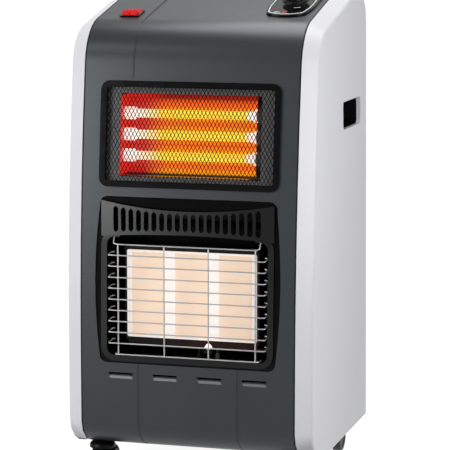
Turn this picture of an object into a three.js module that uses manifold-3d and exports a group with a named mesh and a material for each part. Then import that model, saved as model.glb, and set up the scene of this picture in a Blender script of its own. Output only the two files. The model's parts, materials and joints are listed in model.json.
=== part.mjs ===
// Portable cabinet heater: a gas radiant burner below three electric quartz tubes, on four casters.
// Units are millimetres. +Z is up, the front faces -Y, and the viewer's right is +X.
import * as THREE from 'three';
import { mergeVertices } from 'three/addons/utils/BufferGeometryUtils.js';
import Module from 'manifold-3d';

const wasm = await Module();
wasm.setup();

// ---------------------------------------------------------------------------------------------
// Driving dimensions
// ---------------------------------------------------------------------------------------------
const seat = 0.3;                 // gap between a piece and what it rests on
const degree = Math.PI / 180;

// The cabinet's outline, seen from the side
const cabinetWidth = 400;
const sideX = cabinetWidth / 2;
const floorClearance = 51;        // floor to the lower edge of the side panels
const cabinetDepth = 404;
const frontY = -196;              // foremost line of the front skin
const rearFootY = frontY + cabinetDepth; // rear edge at the foot
const rearLean = 2.46 * degree;   // the rear edge leans forward as it rises
const frontBowStart = 213;        // height where the front begins to bow back
const frontBowRadius = 3360;
const toeLength = 119;            // the rounded foot of the front, an ellipse
const toeHeight = 55;
const topRise = 13.2 * degree;    // the top climbs towards the rear
const topHeight = 765.5;          // height of the top skin's plane at y = 0
const browRadius = 78;            // bend between the front and the top
const rearCornerRadius = 57;      // bend between the top and the rear

// Shells
const bevelWidth = 25;            // the bevelled strip of a side panel, seen from the front
const bevelDepth = 12;
const sideWall = 2.5;
const skinWall = 2;               // front panel
const seamGap = 2.6;              // dark joint line between the front and side panels
const tongueWidth = 9;            // rebate of the side panel that carries the front panel
const tongueWall = 2;
const skirtHeight = 67;           // lower edge of the front panel
const sheet = 1.2;                // plain steel sheet

// Hand holes in the side panels
const gripY = rearFootY - 131;
const gripDrop = 182.5;           // the hole's middle below the top
const gripZ = topHeight - gripDrop;
const gripLength = 128;
const gripHeight = 45;
const gripSlant = 4;              // the hole leans with the rear edge
const gripCorner = 7;
const gripLip = 7;                // rolled edge of the hole
const gripDepth = 30;
const gripWall = 2;

// Window of the electric heater
const upperDrop = 117.5;
const upperTall = 165;
const upperHigh = topHeight - upperDrop;
const upperLow = upperHigh - upperTall;
const upperHalf = sideX - 54.5;
const upperCorner = 14;
const bezelProud = 3;             // how far a bezel stands in front of the skin
const upperLap = 6;               // bezel over the panel's edge
const upperFrame = 10;            // width of the bezel's face
const upperCollarDepth = 10;
const meshWall = 1;
const meshPitchX = 23;
const meshPitchZ = 35;
const meshStrand = 2.4;
const reflectorHalf = upperHalf - 32.5;
const reflectorHigh = 128;
const reflectorBack = 50;
const reflectorRidge = 7;
const tubePitch = 33;
const tubeRadius = 7;
const tubeBore = 5.5;
const tubeDepth = 27;             // tube axis behind the skin
const capRadius = 10;
const capReach = 16;              // length of a ceramic end cap's body
const capNeck = 6;
const coilRadius = 3.6;
const leadRadius = 1;

// Window of the gas burner
const windowGap = 15;
const lowerTall = 263.5;
const lowerHigh = upperLow - windowGap;
const lowerLow = lowerHigh - lowerTall;
const lowerHalfEnd = sideX - 56.5; // half width of the opening at its corners
const lowerHalfMid = sideX - 49.5; // and at its middle: the sides bow outwards
const lowerCorner = 14;
const surroundWall = 2;
const surroundLap = 6;
const mouthHalf = lowerHalfEnd - 13; // clear mouth in front of the burner
const mouthLow = lowerLow + 13;
const mouthHigh = lowerHigh - 63;
const mouthCorner = 12;
const ridgeWidth = 9.5;           // raised rim round the mouth
const hoodHalf = mouthHalf + ridgeWidth;
const hoodTopEnd = lowerHigh - 6;
const hoodTopMid = lowerHigh - 18.5;
const hoodLowEnd = mouthHigh;
const hoodLowMid = mouthHigh + 7.5;
const hoodBulge = 9;              // the hood bows forward in plan
const hoodWall = 2.5;
const slotCount = 19;
const slotPitch = hoodHalf / 10.94;
const slotWidth = slotPitch * 0.64;
const slotMarginTop = 3.2;
const slotMarginLow = 4.6;

// Burner
const burnerHalf = mouthHalf - 20.5;
const gasketHalf = burnerHalf - 4;
const gasketBorder = 3.2;
const gasketWall = 9;
const plaqueMargin = 8;           // gasket's edge to the outer plaques
const plaqueGap = 18.5;
const plaqueWidth = 2 * (gasketHalf - plaqueMargin - plaqueGap) / 3;
const plaquePitch = plaqueWidth + plaqueGap;
const plaqueHeight = 133;
const plaqueWall = 12;
const plaqueLow = mouthLow + 28;
const plaqueFaceY = -169;         // front faces of the plaques
const burnerLow = plaqueLow - 9.5;
const burnerHigh = plaqueLow + plaqueHeight + 9.5;
const burnerBackY = -127;
const burnerApron = 7;            // the lower flange hangs down this far
const shieldBackY = -118;
const manifoldRadius = 5;
const manifoldZ = burnerLow - 10.5;
const manifoldY = -139;
const injectorRadius = 3.5;
const pipeRadius = 4;
const pipeX = sideX - 47;
const pipeBend = 16;

// Wire guard
const wireRadius = 1.3;
const guardBars = 9;
const guardLow = mouthLow + 1.5;
const guardHigh = mouthHigh - 11;
const guardHalf = mouthHalf - 3;
const guardPost = mouthHalf - 19; // outer posts
const guardPostX = [-guardPost, -guardPost / 3.1, guardPost / 3.1, guardPost];
const guardFaceY = -199;
const hookDepth = 17;
const hookBend = 4;
const curlRise = 12;

// Inner walls and rear
const bulkheadClear = 2.7;        // behind the deeper of the reflector and the burner's tray
const bulkheadHigh = topHeight - 53.5;
const flangeWidth = 14;
const baseZ = 68;                 // underside of the base plate
const baseRim = 18;
const baseFrontY = -149;
const padHalf = 148;              // raised pad that the bottle stands on
const padHeight = 1;
const padMargin = 2.5;            // pad's edge to the bulkhead and to the rear rim
const coverLow = baseZ + 1;
const coverHigh = topHeight - 63.5;
const coverBackY = rearFootY - 1;
const coverWall = 1.5;
const coverTuck = 8;              // how far the cover reaches between the side panels
const ventCount = 6;
const ventPitch = 20;
const ventLength = 110;
const ventX = 0.1875 * cabinetWidth;
const ventMargin = 69;            // cover's edge to the middle of the nearest vent
const ventHeight = 5;
const railDepth = 26;

// Louvres and grooves pressed into the front panel
const louvreX = [-0.2725, -0.09125, 0.09125, 0.2725].map((share) => share * cabinetWidth);
const louvreLength = 41;
const louvreEnd = 3.5;            // sloping end of a louvre
const louvreHigh = lowerLow - 15.5;
const louvreHeight = 9.5;
const louvreDepth = 5;
const louvreSlit = 3.5;           // open height under a louvre's upper edge
const grooveWidth = 6;
const grooveDepth = 1.1;
const lowerGrooveX = [-0.194, 0.2095].map((share) => share * cabinetWidth);
const browGrooveX = -0.23 * cabinetWidth;
const browGrooveEndY = 30;

// Controls on the top
const knobX = 0.325 * cabinetWidth;
const knobY = -22;
const knobRadius = 21.5;
const knobHeight = 25;
const knobFlange = 4;
const knobGripRadius = 17;
const knobFlutes = 10;
const pushTravel = 3;
const pushGap = 3.6;                // knob above its plate: the travel and a little more
const spindleRadius = 3;
const spindleReach = 16;          // spindle below the top skin
const plateFrontY = -87;
const plateBow = 9;               // the plate's front edge bows forward
const plateRearY = 42;
const plateOffset = -3.5;         // plate's middle from the knob's axis
const plateFrontWidth = 63;
const plateRearWidth = 75;
const plateCorner = 10;
const plateWall = 3.7;
const valveHalfX = 22;
const valveHalfY = 28;
const valveHeight = 30;
const valveNeck = 8;
const nozzleRadius = 5;
const switchX = -0.31 * cabinetWidth;
const switchY = -80;
const switchWidth = 32;
const switchLength = 37;
const switchRim = 1.6;
const switchRimHeight = 2;
const switchDepth = 24;
const rockerWidth = 11.6;
const rockerLength = 30;
const rockerGap = 0.4;
const rockerDivide = 1;           // wall between the two rockers
const trunnionRadius = 1.2;
const rockerThrow = 11 * degree;
const rockerCrest = 8;            // rocker's end above its pivot
const dishDepth = 1.2;            // shallow recess behind the switch, with a slanted front edge
const dishLeft = -0.375 * cabinetWidth;
const dishRight = browGrooveX - 5;
const dishFrontLeft = 13;
const dishFrontRight = -14;
const dishRear = 42;
const dishCorner = 7;

// Casters
const casterX = sideX - 43;
const casterFrontY = -146;
const casterRearY = rearFootY - 58;
const wheelRadius = 25;
const wheelWidth = 15;
const wheelGap = 7;               // between the two wheels of a caster
const axleRadius = 3;
const trail = 12;                 // axle behind the swivel axis
const hoodClear = 3;
const casterWall = 3;
const casterShoulder = 5;         // bevel along the sides of the hood
const stemRadius = 5;
const collarRadius = 8;
const bellRadius = 21;            // rounded housing of the swivel, between the hood and the base
const stemReach = 24;
const socketWall = 1.5;

// ---------------------------------------------------------------------------------------------
// Materials
// ---------------------------------------------------------------------------------------------
const finish = (color, roughness, metalness, more = {}) =>
  new THREE.MeshStandardMaterial({ color, roughness, metalness, flatShading: true, ...more });

const materials = {
  pearl: finish(0xd9d9dd, 0.35, 0.3),
  slate: finish(0x4a4e52, 0.4, 0.3),
  blackPlastic: finish(0x121314, 0.45, 0),
  blackMetal: finish(0x1c1d1f, 0.5, 0.6),
  steel: finish(0x9a9c9f, 0.4, 0.9),
  chrome: finish(0xd8dadc, 0.15, 1),
  brass: finish(0xb59a55, 0.35, 0.9),
  quartz: finish(0xffb060, 0.2, 0, { transparent: true, opacity: 0.6 }),
  glow: finish(0xff7a20, 0.6, 0, { emissive: new THREE.Color(0xff6a10) }),
  ceramic: finish(0xf1ece4, 0.8, 0),
  plaque: finish(0xf3d6bf, 0.9, 0),
  red: finish(0xc8141c, 0.3, 0),
  rubber: finish(0x0c0c0d, 0.7, 0),
};

// ---------------------------------------------------------------------------------------------
// Solids: shapes are extruded or turned in three.js, and joined or cut by manifold
// ---------------------------------------------------------------------------------------------
function solid(geometry) {
  const bare = geometry.clone();
  bare.deleteAttribute('normal');
  bare.deleteAttribute('uv');
  const merged = mergeVertices(bare, 1e-4);
  return new wasm.Manifold(new wasm.Mesh({
    numProp: 3,
    vertProperties: new Float32Array(merged.attributes.position.array),
    triVerts: new Uint32Array(merged.index.array),
  }));
}

function geometryOf(body) {
  const mesh = body.getMesh();
  const geometry = new THREE.BufferGeometry();
  geometry.setAttribute('position', new THREE.BufferAttribute(new Float32Array(mesh.vertProperties), 3));
  geometry.setIndex(new THREE.BufferAttribute(new Uint32Array(mesh.triVerts), 1));
  return geometry;
}

const join = (...bodies) => bodies.reduce((sum, body) => sum.add(body));
const cut = (body, ...tools) => tools.reduce((rest, tool) => rest.subtract(tool), body);

function node(name, material, body) {
  const mesh = new THREE.Mesh(geometryOf(body), material);
  mesh.name = name;
  return mesh;
}

const shapeOf = (points) => new THREE.Shape(points.map(([u, v]) => new THREE.Vector2(u, v)));

// Axes of the three extrusions: a shape drawn in YZ runs along X, one in XZ along Y, one in XY along Z
const alongX = new THREE.Matrix4().makeBasis(
  new THREE.Vector3(0, 1, 0), new THREE.Vector3(0, 0, 1), new THREE.Vector3(1, 0, 0));
const alongY = new THREE.Matrix4().makeBasis(
  new THREE.Vector3(1, 0, 0), new THREE.Vector3(0, 0, 1), new THREE.Vector3(0, -1, 0));

function extrude(shape, from, to, basis, segments = 2) {
  const geometry = new THREE.ExtrudeGeometry(shape, {
    depth: to - from, bevelEnabled: false, curveSegments: segments });
  geometry.translate(0, 0, from);
  return basis ? geometry.applyMatrix4(basis) : geometry;
}

const prismX = (shape, x0, x1, segments) => solid(extrude(shape, x0, x1, alongX, segments));
const prismY = (shape, y0, y1, segments) => solid(extrude(shape, -y1, -y0, alongY, segments));
const prismZ = (shape, z0, z1, segments) => solid(extrude(shape, z0, z1, null, segments));

function box(x0, x1, y0, y1, z0, z1) {
  const geometry = new THREE.BoxGeometry(x1 - x0, y1 - y0, z1 - z0);
  return solid(geometry.translate((x0 + x1) / 2, (y0 + y1) / 2, (z0 + z1) / 2));
}

// A cylinder along an axis name, between two places on that axis
function rod(axis, radius, from, to, centre = [0, 0], sides = 16) {
  const geometry = new THREE.CylinderGeometry(radius, radius, to - from, sides);
  const middle = (from + to) / 2;
  if (axis === 'x') geometry.rotateZ(-Math.PI / 2).translate(middle, centre[0], centre[1]);
  if (axis === 'y') geometry.translate(centre[0], middle, centre[1]);
  if (axis === 'z') geometry.rotateX(Math.PI / 2).translate(centre[0], centre[1], middle);
  return solid(geometry);
}

// A profile of [radius, height] pairs turned about Z, or about X
function turned(profile, sides = 24, axis = 'z') {
  const points = profile.map(([radius, height]) => new THREE.Vector2(radius, height));
  const geometry = new THREE.LatheGeometry(points, sides);
  geometry.rotateX(Math.PI / 2);
  if (axis === 'x') geometry.rotateY(Math.PI / 2);
  return solid(geometry);
}

function roundedRectangle(u0, u1, v0, v1, radius) {
  const shape = new THREE.Shape();
  shape.moveTo(u0 + radius, v0);
  shape.lineTo(u1 - radius, v0);
  shape.absarc(u1 - radius, v0 + radius, radius, -Math.PI / 2, 0);
  shape.lineTo(u1, v1 - radius);
  shape.absarc(u1 - radius, v1 - radius, radius, 0, Math.PI / 2);
  shape.lineTo(u0 + radius, v1);
  shape.absarc(u0 + radius, v1 - radius, radius, Math.PI / 2, Math.PI);
  shape.lineTo(u0, v0 + radius);
  shape.absarc(u0 + radius, v0 + radius, radius, Math.PI, Math.PI * 1.5);
  return shape;
}

// A rounded rectangle whose upright sides bow outwards
function barrel(halfEnd, halfMid, low, high, radius) {
  const middle = (low + high) / 2;
  const control = 2 * halfMid - halfEnd;
  const shape = new THREE.Shape();
  shape.moveTo(-halfEnd + radius, low);
  shape.lineTo(halfEnd - radius, low);
  shape.quadraticCurveTo(halfEnd, low, halfEnd, low + radius);
  shape.quadraticCurveTo(control, middle, halfEnd, high - radius);
  shape.quadraticCurveTo(halfEnd, high, halfEnd - radius, high);
  shape.lineTo(-halfEnd + radius, high);
  shape.quadraticCurveTo(-halfEnd, high, -halfEnd, high - radius);
  shape.quadraticCurveTo(-control, middle, -halfEnd, low + radius);
  shape.quadraticCurveTo(-halfEnd, low, -halfEnd + radius, low);
  return shapeOf(shape.getPoints(6).slice(0, -1).map((p) => [p.x, p.y]));
}

// ---------------------------------------------------------------------------------------------
// The skin: one curve from the toe, up the front, over the brow and the top to the rear corner
// ---------------------------------------------------------------------------------------------
const outward = (angle) => [Math.cos(angle), Math.sin(angle)];
const topNormal = Math.PI / 2 + topRise;
const rearNormal = rearLean;
const bowCentre = [frontY + frontBowRadius, frontBowStart];
const toeCentre = [frontY + toeLength, floorClearance + toeHeight];
const rearAt = (z) => rearFootY - (z - floorClearance) * Math.tan(rearLean);
const topAt = (y) => topHeight + y * Math.tan(topRise);

// Centre of the brow's arc: its own radius below the top plane, and inside the front's bow
function browCentre() {
  const [nx, nz] = outward(topNormal);
  const base = [-browRadius * nx, topHeight - browRadius * nz];
  const along = [Math.cos(topRise), Math.sin(topRise)];
  const offset = [base[0] - bowCentre[0], base[1] - bowCentre[1]];
  const reach = frontBowRadius - browRadius;
  const half = offset[0] * along[0] + offset[1] * along[1];
  const rest = offset[0] ** 2 + offset[1] ** 2 - reach ** 2;
  const run = -half - Math.sqrt(half ** 2 - rest);
  return [base[0] + run * along[0], base[1] + run * along[1]];
}

// Where two lines meet, each given by its outward angle and a point
function crossing(angleA, pointA, angleB, pointB) {
  const [ax, az] = outward(angleA);
  const [bx, bz] = outward(angleB);
  const a = ax * pointA[0] + az * pointA[1];
  const b = bx * pointB[0] + bz * pointB[1];
  const scale = ax * bz - az * bx;
  return [(a * bz - b * az) / scale, (ax * b - bx * a) / scale];
}

function arc(centre, radiusY, radiusZ, from, to, steps) {
  return Array.from({ length: steps + 1 }, (_, i) => {
    const angle = from + (to - from) * i / steps;
    return [centre[0] + radiusY * Math.cos(angle), centre[1] + radiusZ * Math.sin(angle)];
  });
}

const brow = browCentre();
const bowEnd = Math.atan2(brow[1] - bowCentre[1], brow[0] - bowCentre[0]);

// inset moves the front and top inwards, edgeInset the rear and the underside
function skinCurve(inset, edgeInset = inset) {
  const corner = rearCornerRadius - edgeInset;
  const topDrop = inset + corner;
  const topPoint = [-topDrop * Math.cos(topNormal), topHeight - topDrop * Math.sin(topNormal)];
  const rearPoint = [rearFootY - (edgeInset + corner) / Math.cos(rearLean), floorClearance];
  const rearCentre = crossing(topNormal, topPoint, rearNormal, rearPoint);
  return [
    ...arc(toeCentre, toeLength - inset, toeHeight - edgeInset, 1.5 * Math.PI, Math.PI, 5),
    ...arc(bowCentre, frontBowRadius - inset, frontBowRadius - inset, Math.PI, bowEnd, 5),
    ...arc(brow, browRadius - inset, browRadius - inset, bowEnd, topNormal, 7).slice(1),
    ...arc(rearCentre, corner, corner, topNormal, rearNormal, 5),
  ];
}

// The skin between two insets, as wide as asked
const skinBand = (outer, inner, x0, x1) =>
  prismX(shapeOf([...skinCurve(outer), ...skinCurve(inner).reverse()]), x0, x1);

// The front skin's y at a height, on the bow
const frontAt = (z) => bowCentre[0] - Math.sqrt(frontBowRadius ** 2 - (z - frontBowStart) ** 2);
const bulkheadY = Math.max(frontAt(upperHigh) + reflectorBack, shieldBackY) + bulkheadClear;

// ---------------------------------------------------------------------------------------------
// Side panels
// ---------------------------------------------------------------------------------------------
const seamX = sideX - bevelWidth;

// A solid between two convex outlines in YZ with as many points, one at each x
function loft(nearX, near, farX, far) {
  const count = near.length;
  const positions = [
    ...near.flatMap(([y, z]) => [nearX, y, z]),
    ...far.flatMap(([y, z]) => [farX, y, z]),
  ];
  const index = [];
  for (let i = 1; i < count - 1; i += 1) {
    index.push(0, i, i + 1, count, count + i + 1, count + i);
  }
  for (let i = 0; i < count; i += 1) {
    const next = (i + 1) % count;
    index.push(next, i, count + next, count + next, i, count + i);
  }
  const geometry = new THREE.BufferGeometry();
  geometry.setAttribute('position', new THREE.Float32BufferAttribute(positions, 3));
  geometry.setIndex(index);
  return solid(geometry);
}

function sideOutline(inset, edgeInset, footZ) {
  const foot = [rearAt(footZ) - edgeInset, footZ];
  return [...skinCurve(inset, edgeInset), foot];
}

// The hand hole: a rounded slanted slot, grown by a margin
function gripShape(margin) {
  const half = gripLength / 2 + margin;
  const rise = gripHeight / 2 + margin;
  const shape = roundedRectangle(-half, half, -rise, rise, gripCorner + margin);
  return shapeOf(shape.getPoints(2).slice(0, -1).map((p) => [
    gripY + p.x - gripSlant * p.y / gripHeight,
    gripZ + p.y,
  ]));
}

function sidePanel() {
  const outer = loft(seamX, sideOutline(0, 0, floorClearance), sideX, sideOutline(bevelDepth, 0, floorClearance));
  const innerX = sideX - sideWall;
  const innerDepth = bevelDepth * (bevelWidth - sideWall) / bevelWidth + sideWall;
  const inner = loft(
    seamX - seat, sideOutline(sideWall, sideWall, floorClearance),
    innerX, sideOutline(innerDepth, sideWall, floorClearance));
  const footCut = box(seamX - 1, innerX, frontY - 1, rearFootY + 1, 0, baseZ + 1);
  const tongue = cut(
    skinBand(skinWall + seat, skinWall + seat + tongueWall, seamX - tongueWidth, seamX + sideWall),
    box(0, sideX, frontY, rearFootY, 0, skirtHeight));
  const lip = cut(
    prismX(gripShape(sideWall), innerX - gripLip + sideWall, innerX + sideWall / 2),
    prismX(gripShape(0), innerX - gripLip, sideX + 1));
  const shell = cut(outer, inner, footCut, prismX(gripShape(0), innerX - gripLip, sideX + 1));
  return join(shell, tongue, lip);
}

// The dark cup behind each hand hole
function gripCup() {
  const mouthX = sideX - gripLip - seat;
  const floorX = mouthX - gripDepth + gripLip;
  return cut(
    prismX(gripShape(sideWall + gripWall), floorX, mouthX),
    prismX(gripShape(0), floorX + gripWall, mouthX + 1));
}

const mirrorX = (body) => {
  const geometry = geometryOf(body).scale(-1, 1, 1);
  geometry.index.array.reverse();
  return solid(geometry);
};

// ---------------------------------------------------------------------------------------------
// Front panel
// ---------------------------------------------------------------------------------------------
const panelHalf = seamX - seamGap;
const topFrame = (x, y) => new THREE.Matrix4()
  .makeRotationX(topRise)
  .setPosition(x, y, topAt(y));
const placed = (body, matrix) => solid(geometryOf(body).applyMatrix4(matrix));

const lowerOpening = (grow) =>
  barrel(lowerHalfEnd + grow, lowerHalfMid + grow, lowerLow - grow, lowerHigh + grow, lowerCorner + grow);
const upperOpening = (grow) =>
  roundedRectangle(-upperHalf - grow, upperHalf + grow, upperLow - grow, upperHigh + grow, upperCorner + grow);
const windowRearY = frontAt(upperHigh) + 40;

// A louvre is pressed inwards: a slit along its upper edge, and slopes back out to the skin
function louvre(x) {
  const half = louvreLength / 2;
  const low = louvreHigh - louvreHeight;
  const pressed = [
    [frontY - 1, louvreHigh], [frontY + louvreDepth, louvreHigh],
    [frontY + louvreDepth, louvreHigh - louvreSlit], [frontY + 0.2, low], [frontY - 1, low]].reverse();
  const shallow = pressed.map(([y, z]) => [Math.min(y, frontY + 0.2), z]);
  const backing = shapeOf([
    [frontY + 1, louvreHigh - louvreSlit], [frontY + louvreDepth + skinWall, louvreHigh - louvreSlit],
    [frontY + skinWall + 1, low - skinWall], [frontY + 1, low - skinWall]]);
  const ends = loft(x + half - louvreEnd, pressed.slice().reverse(), x + half, shallow.slice().reverse());
  const middle = prismX(shapeOf(pressed), x - half + louvreEnd, x + half - louvreEnd);
  const start = loft(x - half, shallow.slice().reverse(), x - half + louvreEnd, pressed.slice().reverse());
  return {
    backing: prismX(backing, x - half, x + half),
    hollow: join(start, middle, ends),
    slit: box(x - half + louvreEnd, x + half - louvreEnd, frontY, frontY + louvreDepth + skinWall + 1,
      louvreHigh - louvreSlit, louvreHigh),
  };
}

// A pressed groove: two steps, the deeper one half as wide
function groove(x, from, to) {
  const band = join(
    skinBand(-1, grooveDepth / 2, x - grooveWidth / 2, x + grooveWidth / 2),
    skinBand(-1, grooveDepth, x - grooveWidth / 4, x + grooveWidth / 4));
  return band.intersect(box(x - grooveWidth, x + grooveWidth, frontY - 2, to, from, topAt(rearFootY)));
}

function frontPanel() {
  const louvres = louvreX.map(louvre);
  const skin = join(skinBand(0, skinWall, -panelHalf, panelHalf), ...louvres.map((l) => l.backing));
  const valveHole = placed(rod('z', valveNeck + seat, -10, 10), topFrame(knobX, knobY));
  const switchHole = placed(
    prismZ(roundedRectangle(
      -switchWidth / 2 + switchRim, switchWidth / 2 - switchRim,
      -switchLength / 2 + switchRim, switchLength / 2 - switchRim, 1), -10, 10),
    topFrame(switchX, switchY));
  const dishCorners = [
    [dishLeft, dishFrontLeft, 0], [dishRight, dishFrontRight, 0], [dishRight, dishRear, 0], [dishLeft, dishRear, 0]];
  const dishLoop = rounded([...dishCorners, dishCorners[0], dishCorners[1]], dishCorner, 3).slice(1, -1);
  const dish = placed(prismZ(shapeOf(dishLoop.map((p) => [p.x, p.y])), -dishDepth, 5), topFrame(0, 0));
  const lowerGrooves = lowerGrooveX.map((x) =>
    groove(x, skirtHeight, 0).intersect(box(-sideX, sideX, frontY - 2, 0, 0, lowerLow - 1)));
  return cut(
    skin,
    box(-sideX, sideX, frontY - 1, rearFootY, 0, skirtHeight),
    prismY(lowerOpening(0), frontY - 5, windowRearY),
    prismY(upperOpening(-upperLap), frontY - 5, windowRearY),
    ...louvres.flatMap((l) => [l.hollow, l.slit]),
    ...lowerGrooves,
    groove(browGrooveX, upperHigh + bezelProud, browGrooveEndY),
    valveHole, switchHole, dish);
}

// ---------------------------------------------------------------------------------------------
// Electric heater: bezel, mesh, reflector and three tubes, in a frame that lies on the skin
// ---------------------------------------------------------------------------------------------
const upperMidZ = (upperLow + upperHigh) / 2;
const upperLean = Math.asin((upperMidZ - frontBowStart) / frontBowRadius);
const upperRise = (upperHigh - upperLow) / 2;
const meshHalf = upperHalf - upperFrame + 1.5;
const meshRise = upperRise - upperFrame + 0.8;
const ledge = 1;                  // thickness of the bezel's face behind the skin line
const bowSag = meshRise ** 2 / (2 * frontBowRadius);
const meshFront = ledge + bowSag + 2 * seat;

function upperBezel() {
  const face = cut(
    skinBand(-bezelProud, -seat, -sideX, sideX).intersect(prismY(upperOpening(0), frontY - 9, windowRearY)),
    prismY(upperOpening(-upperFrame), frontY - 9, windowRearY));
  const neck = cut(
    skinBand(-bezelProud, ledge, -sideX, sideX)
      .intersect(prismY(upperOpening(-upperLap - seat), frontY - 9, windowRearY)),
    prismY(upperOpening(-upperFrame), frontY - 9, windowRearY));
  const collar = cut(
    skinBand(0, upperCollarDepth, -sideX, sideX)
      .intersect(prismY(upperOpening(-upperLap - seat), frontY - 9, windowRearY)),
    prismY(upperOpening(-upperFrame + 2), frontY - 9, windowRearY),
  );
  return join(face, neck, cut(collar, skinBand(-1, ledge - 0.01, -meshHalf - 1, meshHalf + 1)
    .intersect(prismY(upperOpening(-upperFrame + 2), frontY - 9, windowRearY))));
}

// Expanded metal: rows of upright diamonds, every other row shifted by half a pitch
function meshGuard() {
  const shape = roundedRectangle(-meshHalf, meshHalf, -meshRise, meshRise, upperCorner - upperFrame + 4);
  const halfX = meshPitchX / 2 - meshStrand / 2;
  const halfZ = meshPitchZ / 2 - meshStrand;
  const border = 3;
  const columns = Math.floor((meshHalf - border - halfX) / (meshPitchX / 2));
  const rows = Math.floor((meshRise - border - halfZ) / (meshPitchZ / 2));
  for (let row = -rows; row <= rows; row += 1) {
    for (let column = -columns; column <= columns; column += 1) {
      if ((row + column) % 2 === 0) {
        const x = column * meshPitchX / 2;
        const z = row * meshPitchZ / 2;
        shape.holes.push(new THREE.Path([
          new THREE.Vector2(x - halfX, z), new THREE.Vector2(x, z - halfZ),
          new THREE.Vector2(x + halfX, z), new THREE.Vector2(x, z + halfZ)]));
      }
    }
  }
  return prismY(shape, meshFront, meshFront + meshWall);
}

const reflectorFront = upperCollarDepth - bowSag - 2.5;
const capSeatX = reflectorHalf - seat;
const tubeEndX = capSeatX - capReach + 10;

function upperReflector() {
  const flangeHalf = meshHalf - 0.5;
  const flangeRise = meshRise - 0.5;
  const high = reflectorHigh / 2;
  const flange = cut(
    prismY(roundedRectangle(-flangeHalf, flangeHalf, -flangeRise, flangeRise, 4), reflectorFront,
      reflectorFront + sheet),
    box(-reflectorHalf, reflectorHalf, 0, 20, -high, high));
  const steps = 24;
  const wave = Array.from({ length: steps + 1 }, (_, i) => {
    const z = -high + 2 * high * i / steps;
    return [reflectorBack - reflectorRidge * Math.abs(Math.sin(Math.PI * z / tubePitch)), z];
  });
  const back = shapeOf([...wave.map(([y, z]) => [y + sheet, z]), ...[...wave].reverse()]);
  const walls = [-1, 1].map((side) => box(
    -reflectorHalf, reflectorHalf, reflectorFront, reflectorBack + sheet,
    Math.min(side * high, side * (high + sheet)), Math.max(side * high, side * (high + sheet))));
  const ends = [-1, 1].map((side) => cut(
    box(Math.min(side * reflectorHalf, side * (reflectorHalf + sheet)),
      Math.max(side * reflectorHalf, side * (reflectorHalf + sheet)),
      reflectorFront, reflectorBack + sheet, -high - sheet, high + sheet),
    ...tubeRows.map((z) => rod('x', capNeck + seat, side * reflectorHalf - 5, side * reflectorHalf + 5,
      [tubeDepth, z], 12))));
  return join(flange, prismX(back, -reflectorHalf - 0.5, reflectorHalf + 0.5), ...walls, ...ends);
}

const tubeRows = [tubePitch, 0, -tubePitch];

// Everything below is turned about the tube's own axis, X
const quartzTube = () => cut(
  rod('x', tubeRadius, -tubeEndX, tubeEndX, [0, 0], 12),
  rod('x', tubeBore, -tubeEndX - 1, tubeEndX + 1, [0, 0], 12));

const heatingCoil = () => join(
  rod('x', coilRadius, -tubeEndX + 6, tubeEndX - 6, [0, 0], 8),
  rod('x', leadRadius, -capSeatX - 2, capSeatX + 2, [0, 0], 8));

const endCap = () => cut(
  join(
    rod('x', capRadius, capSeatX - capReach, capSeatX, [0, 0], 12),
    rod('x', capNeck, capSeatX - 1, capSeatX + 7, [0, 0], 8)),
  rod('x', tubeRadius + seat, capSeatX - capReach - 1, tubeEndX + seat, [0, 0], 12),
  rod('x', leadRadius + seat, 0, capSeatX + 8, [0, 0], 8));

// ---------------------------------------------------------------------------------------------
// Gas burner: surround with its slotted hood, plaques, housing and wire guard
// ---------------------------------------------------------------------------------------------
const mouthShape = (grow) =>
  roundedRectangle(-mouthHalf - grow, mouthHalf + grow, mouthLow - grow, mouthHigh + grow, mouthCorner + grow);
const surroundBack = skinWall + seat + surroundWall;

// Height of the hood's upper or lower edge at an x: an arc through the middle and both ends
const edgeAt = (x, end, mid) => mid + (end - mid) * (x / hoodHalf) ** 2;

function hoodOutline(shrink, openBelow) {
  const steps = 8;
  const half = hoodHalf - shrink;
  const xs = Array.from({ length: steps + 1 }, (_, i) => -half + 2 * half * i / steps);
  const low = xs.map((x) => [x, edgeAt(x, hoodLowEnd, hoodLowMid) - openBelow]);
  const high = xs.map((x) => [x, edgeAt(x, hoodTopEnd, hoodTopMid) - shrink]);
  return shapeOf([...low, ...high.reverse()]);
}

// A block whose front bows forward in plan, from the hood's face back to the surround
function hoodBlock(inset, backY) {
  const steps = 10;
  const endY = frontAt(hoodLowEnd) - 1 + inset;
  const face = Array.from({ length: steps + 1 }, (_, i) => {
    const x = -hoodHalf + 2 * hoodHalf * i / steps;
    return [x, endY - hoodBulge * (1 - (x / hoodHalf) ** 2)];
  });
  return prismZ(shapeOf([...face, [hoodHalf, backY], [-hoodHalf, backY]]), hoodLowEnd - 30, hoodTopEnd + 10);
}

function hoodSlot(x) {
  const half = slotWidth / 2;
  const low = edgeAt(x, hoodLowEnd, hoodLowMid) + slotMarginLow;
  const high = edgeAt(x, hoodTopEnd, hoodTopMid) - slotMarginTop;
  const ends = [...arc([x, low + half], half, half, Math.PI, 2 * Math.PI, 2),
    ...arc([x, high - half], half, half, 0, Math.PI, 2)];
  return prismY(shapeOf(ends), frontY - 40, frontAt(hoodTopEnd) + 1);
}

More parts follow.
